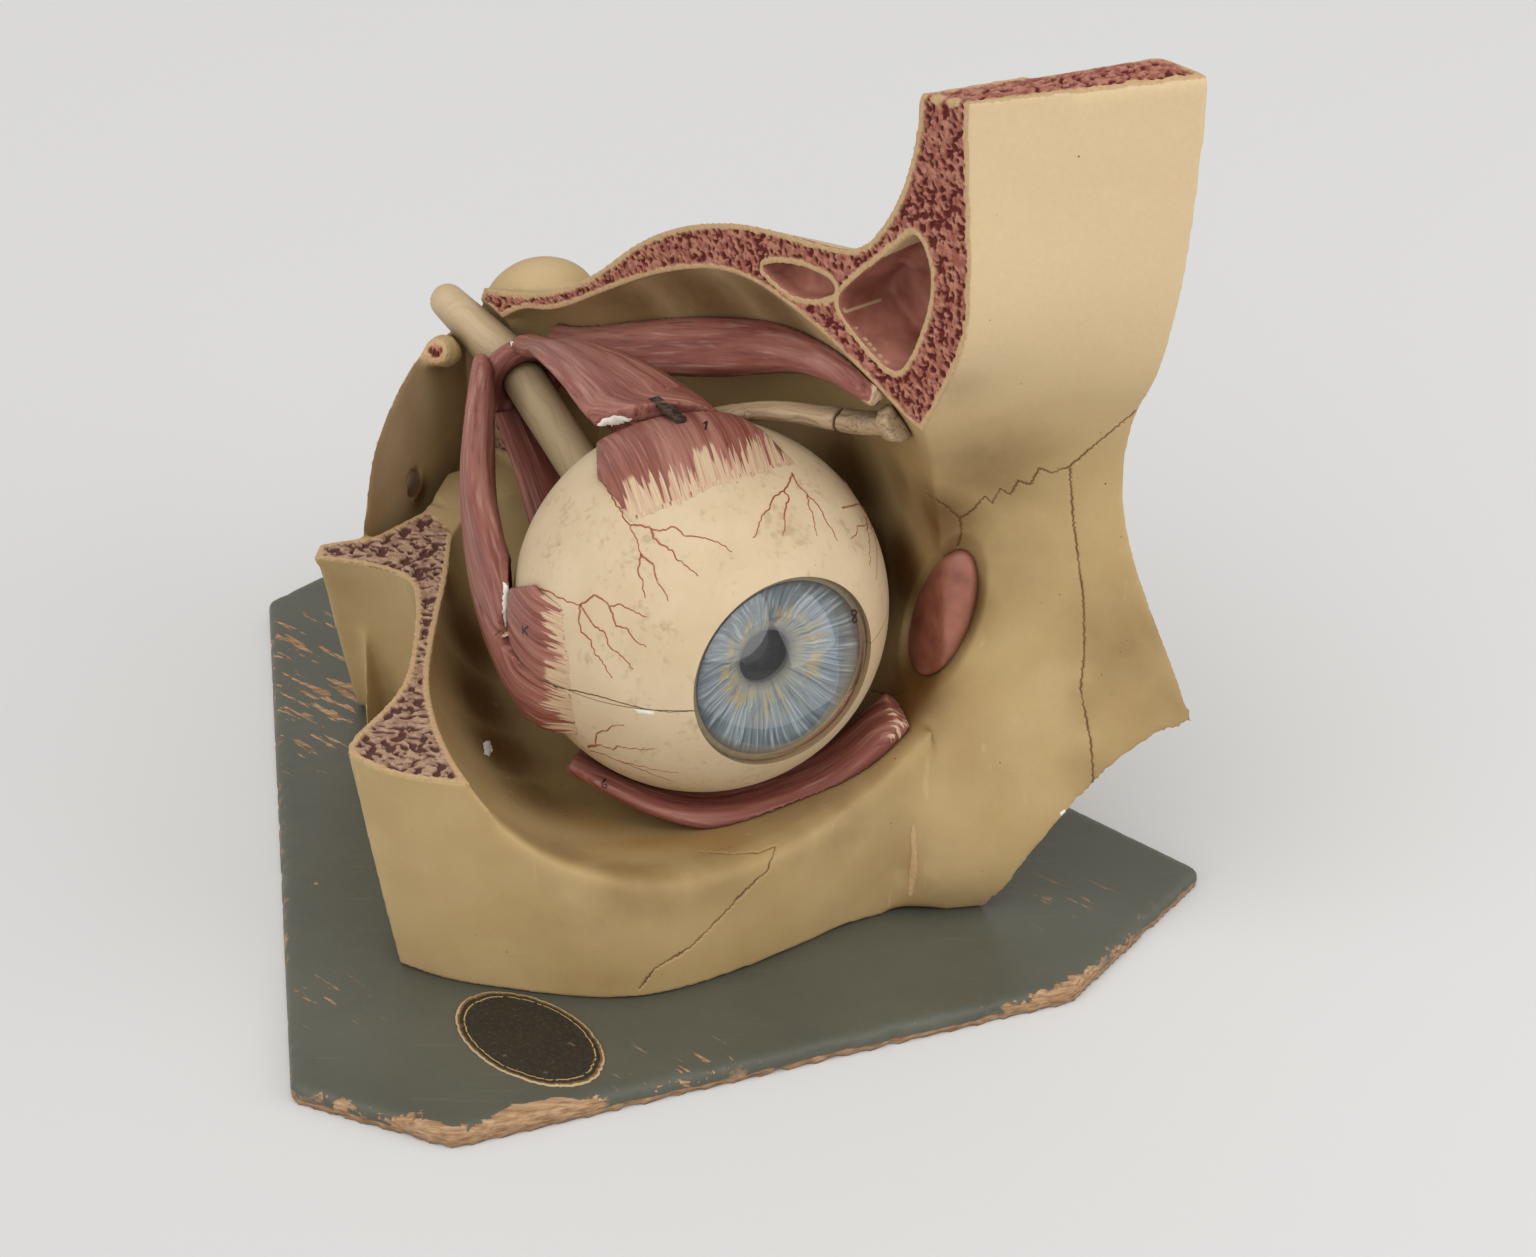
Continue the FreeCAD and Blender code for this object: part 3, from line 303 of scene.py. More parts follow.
def muscle_paint():
    """Brick-red muscle with fine fibres along it, cream where they fray, dark where it is cut, and painted shade in
    hollows and on its down-turned and inner sides.
    """
    p = Paint("muscle_paint")
    grain = p.mark("fibre", "Vector")
    coarse = p.noise(3.4, 3, p.scaled(grain, 0.05, 1, 0.5))
    fine = p.noise(0.8, 3, p.scaled(grain, 0.03, 1, 0.4))
    pale = p.ramp(fine, (0.35, (184, 146, 120)), (0.6, (206, 182, 148)))
    # painted shade: darker in hollows and on the sides that face down and in towards the eye
    shade = p.between(p.hollows(14) * 0.65 + p.mark("deep") * 0.6, 0.0, 1.0)
    spikes = (p.noise(1.3, 2, p.scaled(grain, 0.04, 1, 0.2)) - 0.5) * 3.2
    fray = p.between(p.mark("fray") + spikes, 0.42, 0.55) * p.between(p.mark("fray"), 0.02, 0.2)
    red = p.ramp(coarse, (0.3, (112, 58, 48)), (0.5, (142, 84, 72)), (0.72, (168, 118, 104)))
    red = p.layers(red, (p.between(fine, 0.5, 0.78) * 0.6, (190, 150, 134)),
                   (p.between(fine, 0.45, 0.25) * 0.7, (88, 38, 30)), (shade, (60, 26, 20)), (fray, pale),
                   (p.mark("cut"), (96, 36, 30)))
    p.surface(red, coarse * 0.3 + 0.3, coarse + fine, 0.3, 0.6, Specular_IOR_Level=0.32)


def tendon_paint(name, light, dark, relief):
    """A pale cord with fine grey-brown lines along it and painted shade in its hollows."""
    p = Paint(name)
    fine = p.noise(1.1, 3, p.scaled(p.mark("fibre", "Vector"), 0.03, 1, 0.5))
    # painted shade: dark brown in hollows
    colour = p.layers(p.ramp(fine, (0.34, dark), (0.5, light), (0.75, light)), (p.noise(9, 3) * 0.35, dark),
                      (p.hollows(12) * 0.9, (74, 50, 28)), (p.mark("cut"), dark))
    p.surface(colour, p.noise(4) * 0.3 + 0.35, fine, relief, 0.5)


def board_paint():
    """Grey-green paint on plywood: worn through at the edges, scratched, bare ply at the foot, and painted shade in
    the corners.
    """
    p = Paint("board_paint")
    plank = p.turned(GRAIN_TURN)
    brushed = p.between(p.noise(2.2, 4, p.scaled(plank, 0.07, 1, 1)), 0.62, 0.75)
    green = p.layers(p.ramp(p.noise(60, 4), (0.3, (84, 84, 74)), (0.7, (96, 96, 84))),
                     (p.noise(2.5, 5) * 0.3, (68, 68, 59)), (brushed * 0.5, (104, 102, 90)))
    grain = p.noise(1.6, 4, p.scaled(plank, 0.05, 1, 2.2))
    wood = p.ramp(grain, (0.3, (128, 92, 62)), (0.5, (166, 130, 96)), (0.72, (196, 164, 128)))
    edge, chipped, scuff = p.mark("edge"), p.mark("chipped"), p.mark("scuff")
    ragged = (p.noise(5, 6, p.scaled(plank, 0.5, 1, 1), 0.65) - 0.5) * 10 - chipped * 4
    chips = p.between(edge + ragged, 0.4, 0.0) * p.between(p.noise(38, 2) + chipped * 0.3, 0.5, 0.6)
    scrape = p.noise(2.0, 5, p.scaled(p.turned(SCRATCH_TURN), 0.14, 0.9, 1)) + scuff * 0.16
    scuffed = p.between(scrape, 0.68, 0.71) * p.between(scuff, 0.1, 0.5)
    foot = p.level() + (p.noise(6, 4) - 0.5) * 2.2
    bare = chips | scuffed | p.between(foot, 2.9, 2.3) * p.between(edge, 2.0, 0.6)
    # painted shade: darker in corners and under edges
    colour = p.layers(green, (bare, wood), (p.hollows(9) * 0.5, (46, 44, 38)))
    p.surface(colour, bare * 0.3 + 0.42, p.noise(1.2, 4) * 0.35 - bare, 0.3, 0.7, Specular_IOR_Level=0.35)


def label_paper():
    """A black varnished oval with a gilt line and a torn brown and cream rim."""
    p = Paint("label_paper")
    out = p.mark("out")
    torn = out + (p.noise(3, 5) - 0.5) * 0.05
    black = p.mix(p.between(p.noise(1.2, 4), 0.45, 0.75), (36, 33, 30), (58, 53, 46))
    gilt = p.mix(p.noise(0.7), (150, 126, 78), (190, 166, 110))
    line = p.between(out, 0.865, 0.872) * p.between(out, 0.892, 0.885) * p.between(p.noise(2.5), 0.36, 0.42)
    colour = p.layers(black, (line, gilt), (p.between(torn, 0.935, 0.95), (112, 84, 52)),
                      (p.between(torn, 0.965, 0.985), (188, 164, 126)),
                      (p.between(p.noise(4, 6), 0.64, 0.68) * 0.5, (120, 100, 74)))
    p.surface(colour, p.noise(3) * 0.3 + 0.25, p.noise(0.8, 4), 0.12, 0.5)


def metal(name, colour, dark, roughness):
    """Dull metal with dark tarnish in patches and fine scratches."""
    p = Paint(name)
    tarnish = p.between(p.noise(2.5, 4), 0.4, 0.65)
    scratches = p.noise(0.3, 3, p.scaled(p.place, 1, 0.15, 1))
    p.surface(p.mix(tarnish, colour, dark), tarnish * 0.3 + roughness, scratches, 0.06, 0.4, Metallic=0.85)


def plain_paint(name, low, high, size, roughness=0.4, relief=1.0):
    """Paint of two close colours in soft patches, with painted shade in its hollows and a fine brushed relief."""
    p = Paint(name)
    # painted shade: the colour that hollows are darkened towards
    deep = tuple(c * 0.4 for c in tone(low)[:3]) + (1.0,)
    colour = p.mix(p.hollows(8) * 0.6, p.ramp(p.noise(size, 4), (0.3, low), (0.7, high)), deep)
    p.surface(colour, p.noise(size / 2, 3) * 0.2 + roughness, p.noise(relief, 4), 0.12, 0.5)


def iris_paint():
    """Blue-grey iris, its strokes and flecks from the shape's own attributes."""
    p = Paint("iris_paint")
    out = p.mark("out")
    base = p.ramp(out, (0.0, (88, 84, 76)), (0.12, (138, 136, 124)), (0.3, (126, 134, 136)),
                  (0.62, (116, 126, 134)), (0.86, (104, 114, 122)), (1.0, (70, 76, 82)))
    light = p.mix(p.between(out, 0.25, 0.65), (190, 184, 162), (168, 178, 182))
    ledge = p.mix(p.noise(3, 3), (138, 126, 102), (176, 158, 128))
    colour = p.layers(base, (p.mark("stroke"), light), (p.mark("groove"), (66, 74, 84)),
                      (p.mark("fleck"), (176, 150, 92)), (p.between(out, 1.02, 1.05), ledge))
    p.surface(colour, p.noise(2) * 0.2 + 0.35, p.noise(0.5, 3), 0.1, 0.4)


def clear_glass():
    """The glass cornea: clear from the front, brighter at a grazing angle, with a soft smeared gloss."""
    p = Paint("clear_glass")
    rough = p.between(p.noise(7, 4), 0.45, 0.8) * 0.12 + 0.05
    normal = p.add("ShaderNodeBump", {"Height": p.noise(9, 2), "Distance": 0.1 * MM, "Strength": 0.25})
    gloss = p.add("ShaderNodeBsdfGlossy", {"Color": (1, 1, 1, 1), "Roughness": rough, "Normal": normal})
    clear = p.add("ShaderNodeBsdfTransparent", {"Color": (0.97, 0.98, 0.98, 1)})
    facing = p.add("ShaderNodeFresnel", {"IOR": 1.45, "Normal": normal})
    share = facing * 2.2 * (1.0 - p.add("ShaderNodeNewGeometry", {}, "Backfacing"))
    p.finish(p.add("ShaderNodeMixShader", {0: share, 1: clear, 2: gloss}))


def ink(name, colour, worn=0.5):
    """Brushed lines of one colour, thinner where the brush ran dry."""
    p = Paint(name)
    dry = p.between(p.noise(1.5, 4), 0.45, 0.8)
    p.surface(p.mix(dry * worn, colour, (206, 178, 140)), dry * 0.3 + 0.35, p.noise(0.4), 0.05, 0.4)


def mix_paints():
    """Every paint, under its own name in PAINTS."""
    for make in (bone_paint, sclera_paint, muscle_paint, board_paint, label_paper, iris_paint, clear_glass):
        make()
    tendon_paint("tendon_paint", (182, 158, 124), (132, 106, 78), 0.3)
    tendon_paint("nerve_paint", (192, 169, 133), (180, 156, 119), 0.08)
    metal("screw_steel", (168, 164, 156), (96, 88, 76), 0.35)
    metal("hook_steel", (112, 100, 88), (58, 46, 38), 0.4)
    ink("vessel_paint", (150, 78, 44))
    ink("numeral_ink", (26, 20, 18), 0.12)
    # painted shadow of the seam's gap, with some grime
    ink("seam_shade_and_grime", (84, 58, 34), 0.3)
    plain_paint("sac_paint", (122, 68, 52), (156, 98, 80), 9, 0.3)
    plain_paint("choroid_paint", (52, 30, 24), (92, 56, 42), 6, 0.45)
    plain_paint("lens_glass", (22, 23, 24), (50, 52, 52), 5, 0.12, 4)
    plain_paint("vitreous_cast", (150, 160, 158), (184, 190, 184), 12, 0.15, 6)
    plain_paint("ciliary_paint", (70, 40, 32), (112, 72, 56), 4)
    plain_paint("plaster", (216, 208, 192), (238, 234, 224), 1.5, 0.75, 0.5)
    plain_paint("pink_plaster", (170, 120, 110), (200, 150, 138), 2, 0.6, 0.5)


# ---------------------------------------------------------------- shapes
def read(items, field, width, kind=np.float32):
    values = np.empty(len(items) * width, kind)
    items.foreach_get(field, values)
    return values.reshape(-1, width)


def points_of(mesh):
    return read(mesh.vertices, "co", 3).astype(float)


def normals_of(mesh):
    return read(mesh.vertex_normals, "vector", 3).astype(float)


def edges_of(mesh):
    return read(mesh.edges, "vertices", 2, np.int32)


def move_to(mesh, places):
    mesh.vertices.foreach_set("co", places.astype(np.float32).ravel())
    mesh.update()


def store(mesh, **layers):
    """Keeps values at the points of a shape, under the names that its paint reads."""
    for name, values in layers.items():
        kind, field = ("FLOAT", "value") if values.ndim == 1 else ("FLOAT_VECTOR", "vector")
        mesh.attributes.new(name, kind, "POINT").data.foreach_set(field, values.astype(np.float32).ravel())


def smooth_step(values, low, high):
    share = np.clip((values - low) / (high - low), 0, 1)
    return share * share * (3 - 2 * share)


def roughly(places, size, detail=3, seed=0.0):
    """Soft noise of that size at each place, about -1 to 1."""
    shift = Vector((seed, seed * 1.7, -seed))
    return np.array([noise.fractal(Vector(p) / size + shift, 0.9, 2.0, detail) for p in places])


def away_from(place, places):
    return np.linalg.norm(places - np.array(place), axis=1)


def made_of(name, built):
    """A piece from a finished bmesh."""
    mesh = bpy.data.meshes.new(name)
    built.to_mesh(mesh)
    built.free()
    return link(name, mesh)


def joined(nodes):
    """The CAD shapes of those nodes, as one bmesh."""
    built = bmesh.new()
    for node in nodes:
        built.from_mesh(NODES[node].data)
    return built


def soften(thing, rounds):
    smooth = thing.modifiers.new("soften", "SMOOTH")
    smooth.factor = 0.5
    smooth.iterations = rounds


def settle(thing):
    """Makes what the modifiers of a shape give its own points and faces."""
    graph = bpy.context.evaluated_depsgraph_get()
    thing.data = bpy.data.meshes.new_from_object(thing.evaluated_get(graph))
    thing.modifiers.clear()


def shape_of(name, nodes, size, smoothing=2, lumps=(), axes=Matrix.Identity(3)):
    """The joined CAD shapes of those nodes, and flat round lumps, with even faces of that size along axes."""
    built = joined(nodes)
    for place, radius in lumps:
        facing = SINUS_BEHIND.to_track_quat("Z", "Y").to_matrix().to_4x4()
        flat = Matrix.Translation(place) @ facing @ Matrix.Diagonal((1, 1, LUMP_FLATNESS, 1))
        bmesh.ops.create_icosphere(built, subdivisions=3, radius=radius, matrix=flat)
    built.transform(axes.to_4x4())
    thing = made_of(name, built)
    remesh = thing.modifiers.new("even", "REMESH")
    remesh.mode = "VOXEL"
    remesh.voxel_size = size
    soften(thing, smoothing)
    settle(thing)
    thing.data.transform(axes.transposed().to_4x4())
    return thing


def snapped(thing, nodes, spared):
    """Draws a remeshed shape back onto its CAD shapes, but not near the spared lumps."""
    target = made_of("cad_target", joined(nodes))
    places = points_of(thing.data)
    away = [away_from(place, places) > radius * 1.35 for place, radius in spared]
    thing.vertex_groups.new(name="near_cad").add(np.flatnonzero(np.all(away, axis=0)).tolist(), 1.0, "REPLACE")
    wrap = thing.modifiers.new("wrap", "SHRINKWRAP")
    wrap.target = target
    wrap.vertex_group = "near_cad"
    soften(thing, 3)
    settle(thing)
    thing.vertex_groups.clear()
    bpy.data.objects.remove(target)


def finer(thing, wanted, rounds=1):
    """Cuts the faces whose middle is in a wanted place into four, as often as asked."""
    for _ in range(rounds):
        built = bmesh.new()
        built.from_mesh(thing.data)
        middles = np.array([f.calc_center_median() for f in built.faces])
        chosen = wanted(middles)
        edges = {e for f, c in zip(built.faces, chosen) if c for e in f.edges}
        bmesh.ops.subdivide_edges(built, edges=list(edges), cuts=1, use_grid_fill=True)
        built.to_mesh(thing.data)
        built.free()


def piece(thing, body, paint, *nodes, slot=None):
    """Gives a shape its paint and its body, and hides the CAD nodes that it stands for. The slot is not used."""
    thing.data.materials.clear()
    thing.data.materials.append(PAINTS[paint])
    thing.data.shade_smooth()
    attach(thing, body)
    if nodes:
        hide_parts(*nodes)


def paint_nodes(paint, *nodes):
    """CAD nodes that are shown as they are, in this paint."""
    for node in nodes:
        NODES[node].data.materials.clear()
        NODES[node].data.materials.append(PAINTS[paint])


def tree_of(thing):
    """A ray-casting tree over the shape of a piece."""
    corners = [v.co.copy() for v in thing.data.vertices]
    return BVHTree.FromPolygons(corners, [tuple(f.vertices) for f in thing.data.polygons])


def kd_of(places):
    tree = KDTree(len(places))
    for i, place in enumerate(places):
        tree.insert(place, i)
    tree.balance()
    return tree


def distances(places, tree):
    return np.array([tree.find(p)[2] for p in places])


def pixel_ray(x, y):
    """Direction from the camera through a point of the photograph, given in its pixels."""
    right = CAMERA_RIGHT * (x - MIDDLE_PIXEL[0])
    up = CAMERA_UP * (MIDDLE_PIXEL[1] - y)
    return (right + up - CAMERA_BACK * FOCAL_PIXELS).normalized()


def on_surface(tree, x, y):
    """Where a point of the photograph lies on the piece of a tree."""
    return tree.ray_cast(CAMERA_AT, pixel_ray(x, y))[0]


def on_globe(x, y):
    """Where a point of the photograph lies on the eyeball."""
    aim = pixel_ray(x, y)
    start = CAMERA_AT - EYE
    half = start.dot(aim)
    room = half * half - start.length_squared + RADIUS ** 2
    return CAMERA_AT + aim * (-half - math.sqrt(max(room, 0)))


def drawn(points, step, wander, seed):
    """A hand-drawn line through points of the photograph: pixels every step or so, a little astray."""
    line = []
    for i, (a, b) in enumerate(zip(points, points[1:])):
        a, b = Vector(a), Vector(b)
        count = max(1, round((b - a).length / step))
        side = Vector((-(b - a).y, (b - a).x)).normalized()
        for k in range(count):
            stray = noise.noise(Vector((i * 3.1 + k * 0.83, seed, 0.5))) * wander
            line.append(a.lerp(b, k / count) + side * (stray if k else 0))
    line.append(Vector(points[-1]))
    return line


def turns(count):
    return [math.tau * k / count for k in range(count)]


def skin(built, rings):
    """Faces between rings of corners, each joined to the next."""
    for one, two in zip(rings, rings[1:]):
        for k in range(len(one)):
            built.faces.new((one[k - 1], one[k], two[k], two[k - 1]))


def strands(name, lines, flatness=0.3, sides=6):
    """Joined cords. Each line is a list of (place, radius); flatness squeezes them towards the eye's middle."""
    built = bmesh.new()
    for line in lines:
        rings = []
        for i, (place, radius) in enumerate(line):
            ahead = line[min(i + 1, len(line) - 1)][0] - line[max(i - 1, 0)][0]
            out = (place - EYE).normalized()
            side = out.cross(ahead).normalized()
            rings.append([built.verts.new(place + side * radius * math.cos(t)
                                          + out * radius * flatness * math.sin(t)) for t in turns(sides)])
        skin(built, rings)
        built.faces.new(rings[0])
        built.faces.new(rings[-1][::-1])
    bmesh.ops.recalc_face_normals(built, faces=built.faces)
    return made_of(name, built)


def inside(outline, x, y):
    """How far a pixel lies inside a closed outline of pixels; below 0 outside it."""
    crossings = 0
    nearest = 1e9
    for (x0, y0), (x1, y1) in zip(outline, outline[1:] + outline[:1]):
        if (y0 > y) != (y1 > y) and x < x0 + (y - y0) / (y1 - y0) * (x1 - x0):
            crossings += 1
        span = max((x1 - x0) ** 2 + (y1 - y0) ** 2, 1e-9)
        t = min(max(((x - x0) * (x1 - x0) + (y - y0) * (y1 - y0)) / span, 0), 1)
        nearest = min(nearest, math.hypot(x - x0 - t * (x1 - x0), y - y0 - t * (y1 - y0)))
    return nearest if crossings % 2 else -nearest


def patch(name, outline, thing, height, step=1.3):
    """A lumpy thin layer over a piece, inside an outline of photograph pixels."""
    tree = tree_of(thing)
    left, right = min(p[0] for p in outline), max(p[0] for p in outline)
    top, foot = min(p[1] for p in outline), max(p[1] for p in outline)
    built = bmesh.new()
    grid = {}
    for i in range(int((right - left) / step) + 2):
        for k in range(int((foot - top) / step) + 2):
            x, y = left + i * step, top + k * step
            depth = inside(outline, x, y) + noise.noise(Vector((x, y, 0)) / 4) * 1.5
            found, normal, _, _ = tree.ray_cast(CAMERA_AT, pixel_ray(x, y))
            if depth < -step or found is None:
                continue
            lumps = 0.75 + 0.5 * noise.noise(Vector((x, y, 3)) / 3)
            lift = height * min(max(depth / 3, -0.3), 1.0) * lumps
            grid[i, k] = built.verts.new(found + normal * lift)
    for (i, k), corner in list(grid.items()):
        others = [grid.get(at) for at in ((i + 1, k), (i + 1, k + 1), (i, k + 1))]
        if None not in others and max((corner.co - o.co).length for o in others) < 4 * MM:
            built.faces.new((corner, *others))
    return made_of(name, built)


# ---------------------------------------------------------------- bones
BONES = ("frontal_bone", "sphenoid_bone", "nasal_bone", "zygomatic_bone", "maxilla")
BONE_GRID = 1.0 * MM
PIT_DEPTH = 1.3 * MM
CRACK_DEPTH = 0.5 * MM
CRACK_WIDTH = 0.42 * MM
RIM_WIDTH = 2.2 * MM
REDDER_ABOVE = 120 * MM
SUTURES = (
    ((925, 495), (944, 506), (960, 520), (972, 512), (985, 498), (992, 505), (1000, 490), (1010, 496), (1018, 482),
     (1030, 486), (1040, 470), (1052, 475), (1070, 468), (1100, 442), (1145, 405)),
    ((960, 520), (961, 535), (957, 548)),
    ((1070, 470), (1073, 520), (1083, 600), (1084, 650), (1080, 690), (1090, 740), (1095, 795)),
    ((700, 850), (730, 853), (760, 851), (775, 845), (770, 870), (745, 893), (720, 920), (690, 950), (655, 970),
     (640, 990)),
    ((870, 690), (890, 696), (905, 690)),
)
# Painted light: brighter patches where light from the left front falls, each an (x, y in pixels, reach in mm,
# strength).
PAINTED_LIGHT = ((540, 275, 20, 0.6), (400, 440, 26, 1.0), (395, 500, 14, 0.8), (420, 400, 20, 0.9))
OCHRE = ((600, 822, 14, 0.5), (650, 842, 14, 0.5), (710, 842, 13, 0.4))
# Brown airbrushing and painted shade in recesses and under the roof, each an (x, y in pixels, reach in mm,
# strength).
STAINS_AND_SHADE = (
    (985, 470, 30, 0.5), (940, 520, 22, 0.8), (905, 570, 18, 0.8), (912, 690, 22, 0.9), (960, 600, 18, 0.6),
    (870, 560, 20, 0.8), (640, 880, 26, 0.5), (560, 850, 24, 0.4), (720, 870, 24, 0.45), (840, 830, 22, 0.35),
    (450, 590, 16, 0.7), (470, 640, 22, 1.0), (480, 700, 24, 1.0), (502, 750, 24, 0.95), (535, 792, 22, 0.7),
    (1010, 460, 24, 0.4), (1130, 640, 30, 0.45),
    (960, 390, 16, 0.3), (1180, 700, 26, 0.4), (415, 490, 7, 0.9), (630, 300, 26, 0.55), (700, 290, 34, 0.7),
    (770, 300, 30, 0.65),
    (900, 480, 14, 0.4), (850, 806, 16, 0.4), (880, 785, 14, 0.35), (800, 838, 14, 0.35), (690, 858, 14, 0.25),
    (1086, 700, 14, 0.35), (1090, 770, 14, 0.35),
    (980, 760, 30, 0.25), (900, 860, 30, 0.3), (600, 930, 30, 0.3), (1000, 560, 30, 0.35), (850, 470, 24, 0.7),
)
SINUS_SEEDS = ((890, 300, 36 * MM), (797, 280, 20 * MM))
SINUS_BACKING = tuple((Vector(at) * MM, 7 * MM) for at in (
    (61.0, -50.3, 240.3), (60.5, -46.0, 236.2), (59.6, -40.4, 231.3), (59.0, -34.4, 226.5)))
SINUS_BEHIND = Vector((0.5535, 0.7548, 0.3522))
LUMP_FLATNESS = 0.35
SOFT_RIM = ((500, 812), (520, 838), (545, 856), (575, 870), (610, 879), (650, 884), (700, 882), (745, 872),
(790, 855),
            (830, 838), (870, 815), (900, 795), (925, 770))
SMOOTHED_STEP = ((915, 900), (920, 850), (930, 800), (937, 760), (940, 730), (925, 720))
SAC_MIDDLE = (943, 614)
SAC_HALF = (66, 30)
SAC_TURN = math.radians(-71)
SAC_SLACK = 0.97
SAC_RINGS = 24
SAC_TURNS = 72
SAC_BULGE = 7.5 * MM
SAC_OUT = Vector((-0.55, -0.75, 0.36)).normalized()
FOSSA_DEPTH = 4.0 * MM


def saw_planes(places, slack, strut_reach):
    """Which places lie near the roof's saw cut, the lateral one, the forehead's break and the strut's end."""
    roof = np.abs(places @ ACROSS - ROOF_SAW) < slack
    lateral = (np.abs(places[:, 2] - LATERAL_SAW) < slack) & (places[:, 0] < -30 * MM)
    return roof, lateral, places[:, 2] > FOREHEAD_BREAK, away_from(STRUT_END, places) < strut_reach


def near_planes(places):
    """Which places lie in or close to one of the sawn faces."""
    return np.any(saw_planes(places, 0.8 * MM, 9 * MM), axis=0)


def sawn_faces(places, facing):
    """Which points lie on a sawn face, and their places in the plane of that face."""
    square = (facing @ ACROSS < -0.75, facing[:, 2] > 0.75, facing[:, 2] > 0.75, facing @ STRUT_AIM > 0.8)
    sawn = [near & towards for near, towards in zip(saw_planes(places, 0.45 * MM, 7 * MM), square)]
    flat = places[:, :2].copy()
    flat[sawn[0]] = np.stack((places @ ALONG, places[:, 2]), axis=1)[sawn[0]]
    return np.any(sawn, axis=0), flat


def pits(places, spacing, seed, stretch):
    """How deep each place of a sawn face lies in one of its marrow pits, from 0 to 1."""
    chance = np.random.default_rng(seed)
    low = np.floor(places.min(axis=0) / spacing).astype(int) - 1
    shape = tuple(np.floor(places.max(axis=0) / spacing).astype(int) - low + 3)
    jitter = chance.uniform(-0.36, 0.36, (*shape, 2))
    size = chance.uniform(0.06, 0.52, shape)
    turn = chance.uniform(0, math.pi, shape)
    cell = np.floor(places / spacing).astype(int) - low
    deepest = np.zeros(len(places))
    for step in itertools.product((-1, 0, 1), repeat=2):
        i, j = (cell + step).T
        offset = places - (cell + step + low + 0.5 + jitter[i, j]) * spacing
        c, s = np.cos(turn[i, j]), np.sin(turn[i, j])
        u = (offset[:, 0] * c + offset[:, 1] * s) / stretch
        v = offset[:, 1] * c - offset[:, 0] * s
        reach = np.hypot(u, v) / (size[i, j] * spacing)
        deepest = np.maximum(deepest, np.clip((1.2 - reach) * 3, 0, 1))
    return deepest


def relaxed(places, edges, weight, rounds):
    """Places drawn towards the middle of their neighbours, by weight."""
    ends = np.concatenate((edges, edges[:, ::-1]))
    count = np.maximum(np.bincount(ends[:, 0], minlength=len(places)), 1)
    for _ in range(rounds):
        sums = [np.bincount(ends[:, 0], places[ends[:, 1], k], len(places)) for k in range(3)]
        places = places + (np.stack(sums, axis=1) / count[:, None] - places) * weight[:, None]
    return places


def sharp_places(mesh):
    """The points where a shape turns sharply."""
    places, facing, pairs = points_of(mesh), normals_of(mesh), edges_of(mesh)
    bend = 1 - (facing[pairs[:, 0]] * facing[pairs[:, 1]]).sum(axis=1)
    return places[np.unique(pairs[bend > 0.08])]


def flooded(mesh, seed, reach, barred):
    """The points within reach that join the one nearest to a place without crossing a barred point."""
    places = points_of(mesh)
    away = away_from(seed, places)
    start = int(np.argmin(away))
    near = away < reach
    pairs = edges_of(mesh)
    pairs = pairs[near[pairs].all(axis=1) & ~barred[pairs].any(axis=1)]
    friends = {}
    for a, b in pairs.tolist():
        friends.setdefault(a, []).append(b)
        friends.setdefault(b, []).append(a)
    found, todo = {start}, [start]
    while todo:
        for other in friends.get(todo.pop(), ()):
            if other not in found:
                found.add(other)
                todo.append(other)
    mask = np.zeros(len(places))
    mask[list(found)] = 1
    return mask


def enclosed(mask, places, facing, tree, reach):
    """Keeps the points of a mask that face the casting again close by, or out through its sawn side."""
    kept = np.zeros(len(places))
    slope = facing @ ACROSS
    for i in np.flatnonzero(mask):
        out = Vector(facing[i])
        met = tree.ray_cast(Vector(places[i]) + out * 0.5 * MM, out, reach)[0]
        kept[i] = met is not None or out.z < 0.3 or slope[i] < -0.1
    return kept


def spots(places, tree, marks):
    """Soft round marks, each an (x, y, reach in mm, strength) at a point of the photograph."""
    amount = np.zeros(len(places))
    for x, y, reach, share in marks:
        middle = on_surface(tree, x, y)
        if middle:
            away = away_from(middle, places) / (reach * MM)
            amount = np.maximum(amount, share * np.exp(-away * away * 1.4))
    return amount


def pixels_of(places):
    """Where places would lie in the photograph, in its pixels."""
    seen = places - CAMERA_AT
    depth = seen @ -CAMERA_BACK
    x = MIDDLE_PIXEL[0] + FOCAL_PIXELS * (seen @ CAMERA_RIGHT) / depth
    return x, MIDDLE_PIXEL[1] - FOCAL_PIXELS * (seen @ CAMERA_UP) / depth


def sac_reach(places, facing, tree):
    """How far out each place lies on the sac's oval: 0 in its middle, 1 at its edge."""
    x, y = pixels_of(places)
    c, s = math.cos(SAC_TURN), math.sin(SAC_TURN)
    u = ((x - SAC_MIDDLE[0]) * c + (y - SAC_MIDDLE[1]) * s) / SAC_HALF[0]
    v = ((y - SAC_MIDDLE[1]) * c - (x - SAC_MIDDLE[0]) * s) / SAC_HALF[1]
    near = away_from(on_surface(tree, *SAC_MIDDLE), places) < 40 * MM
    towards = facing @ CAMERA_BACK > 0
    return np.where(near & towards, np.hypot(u, v), 9.0)


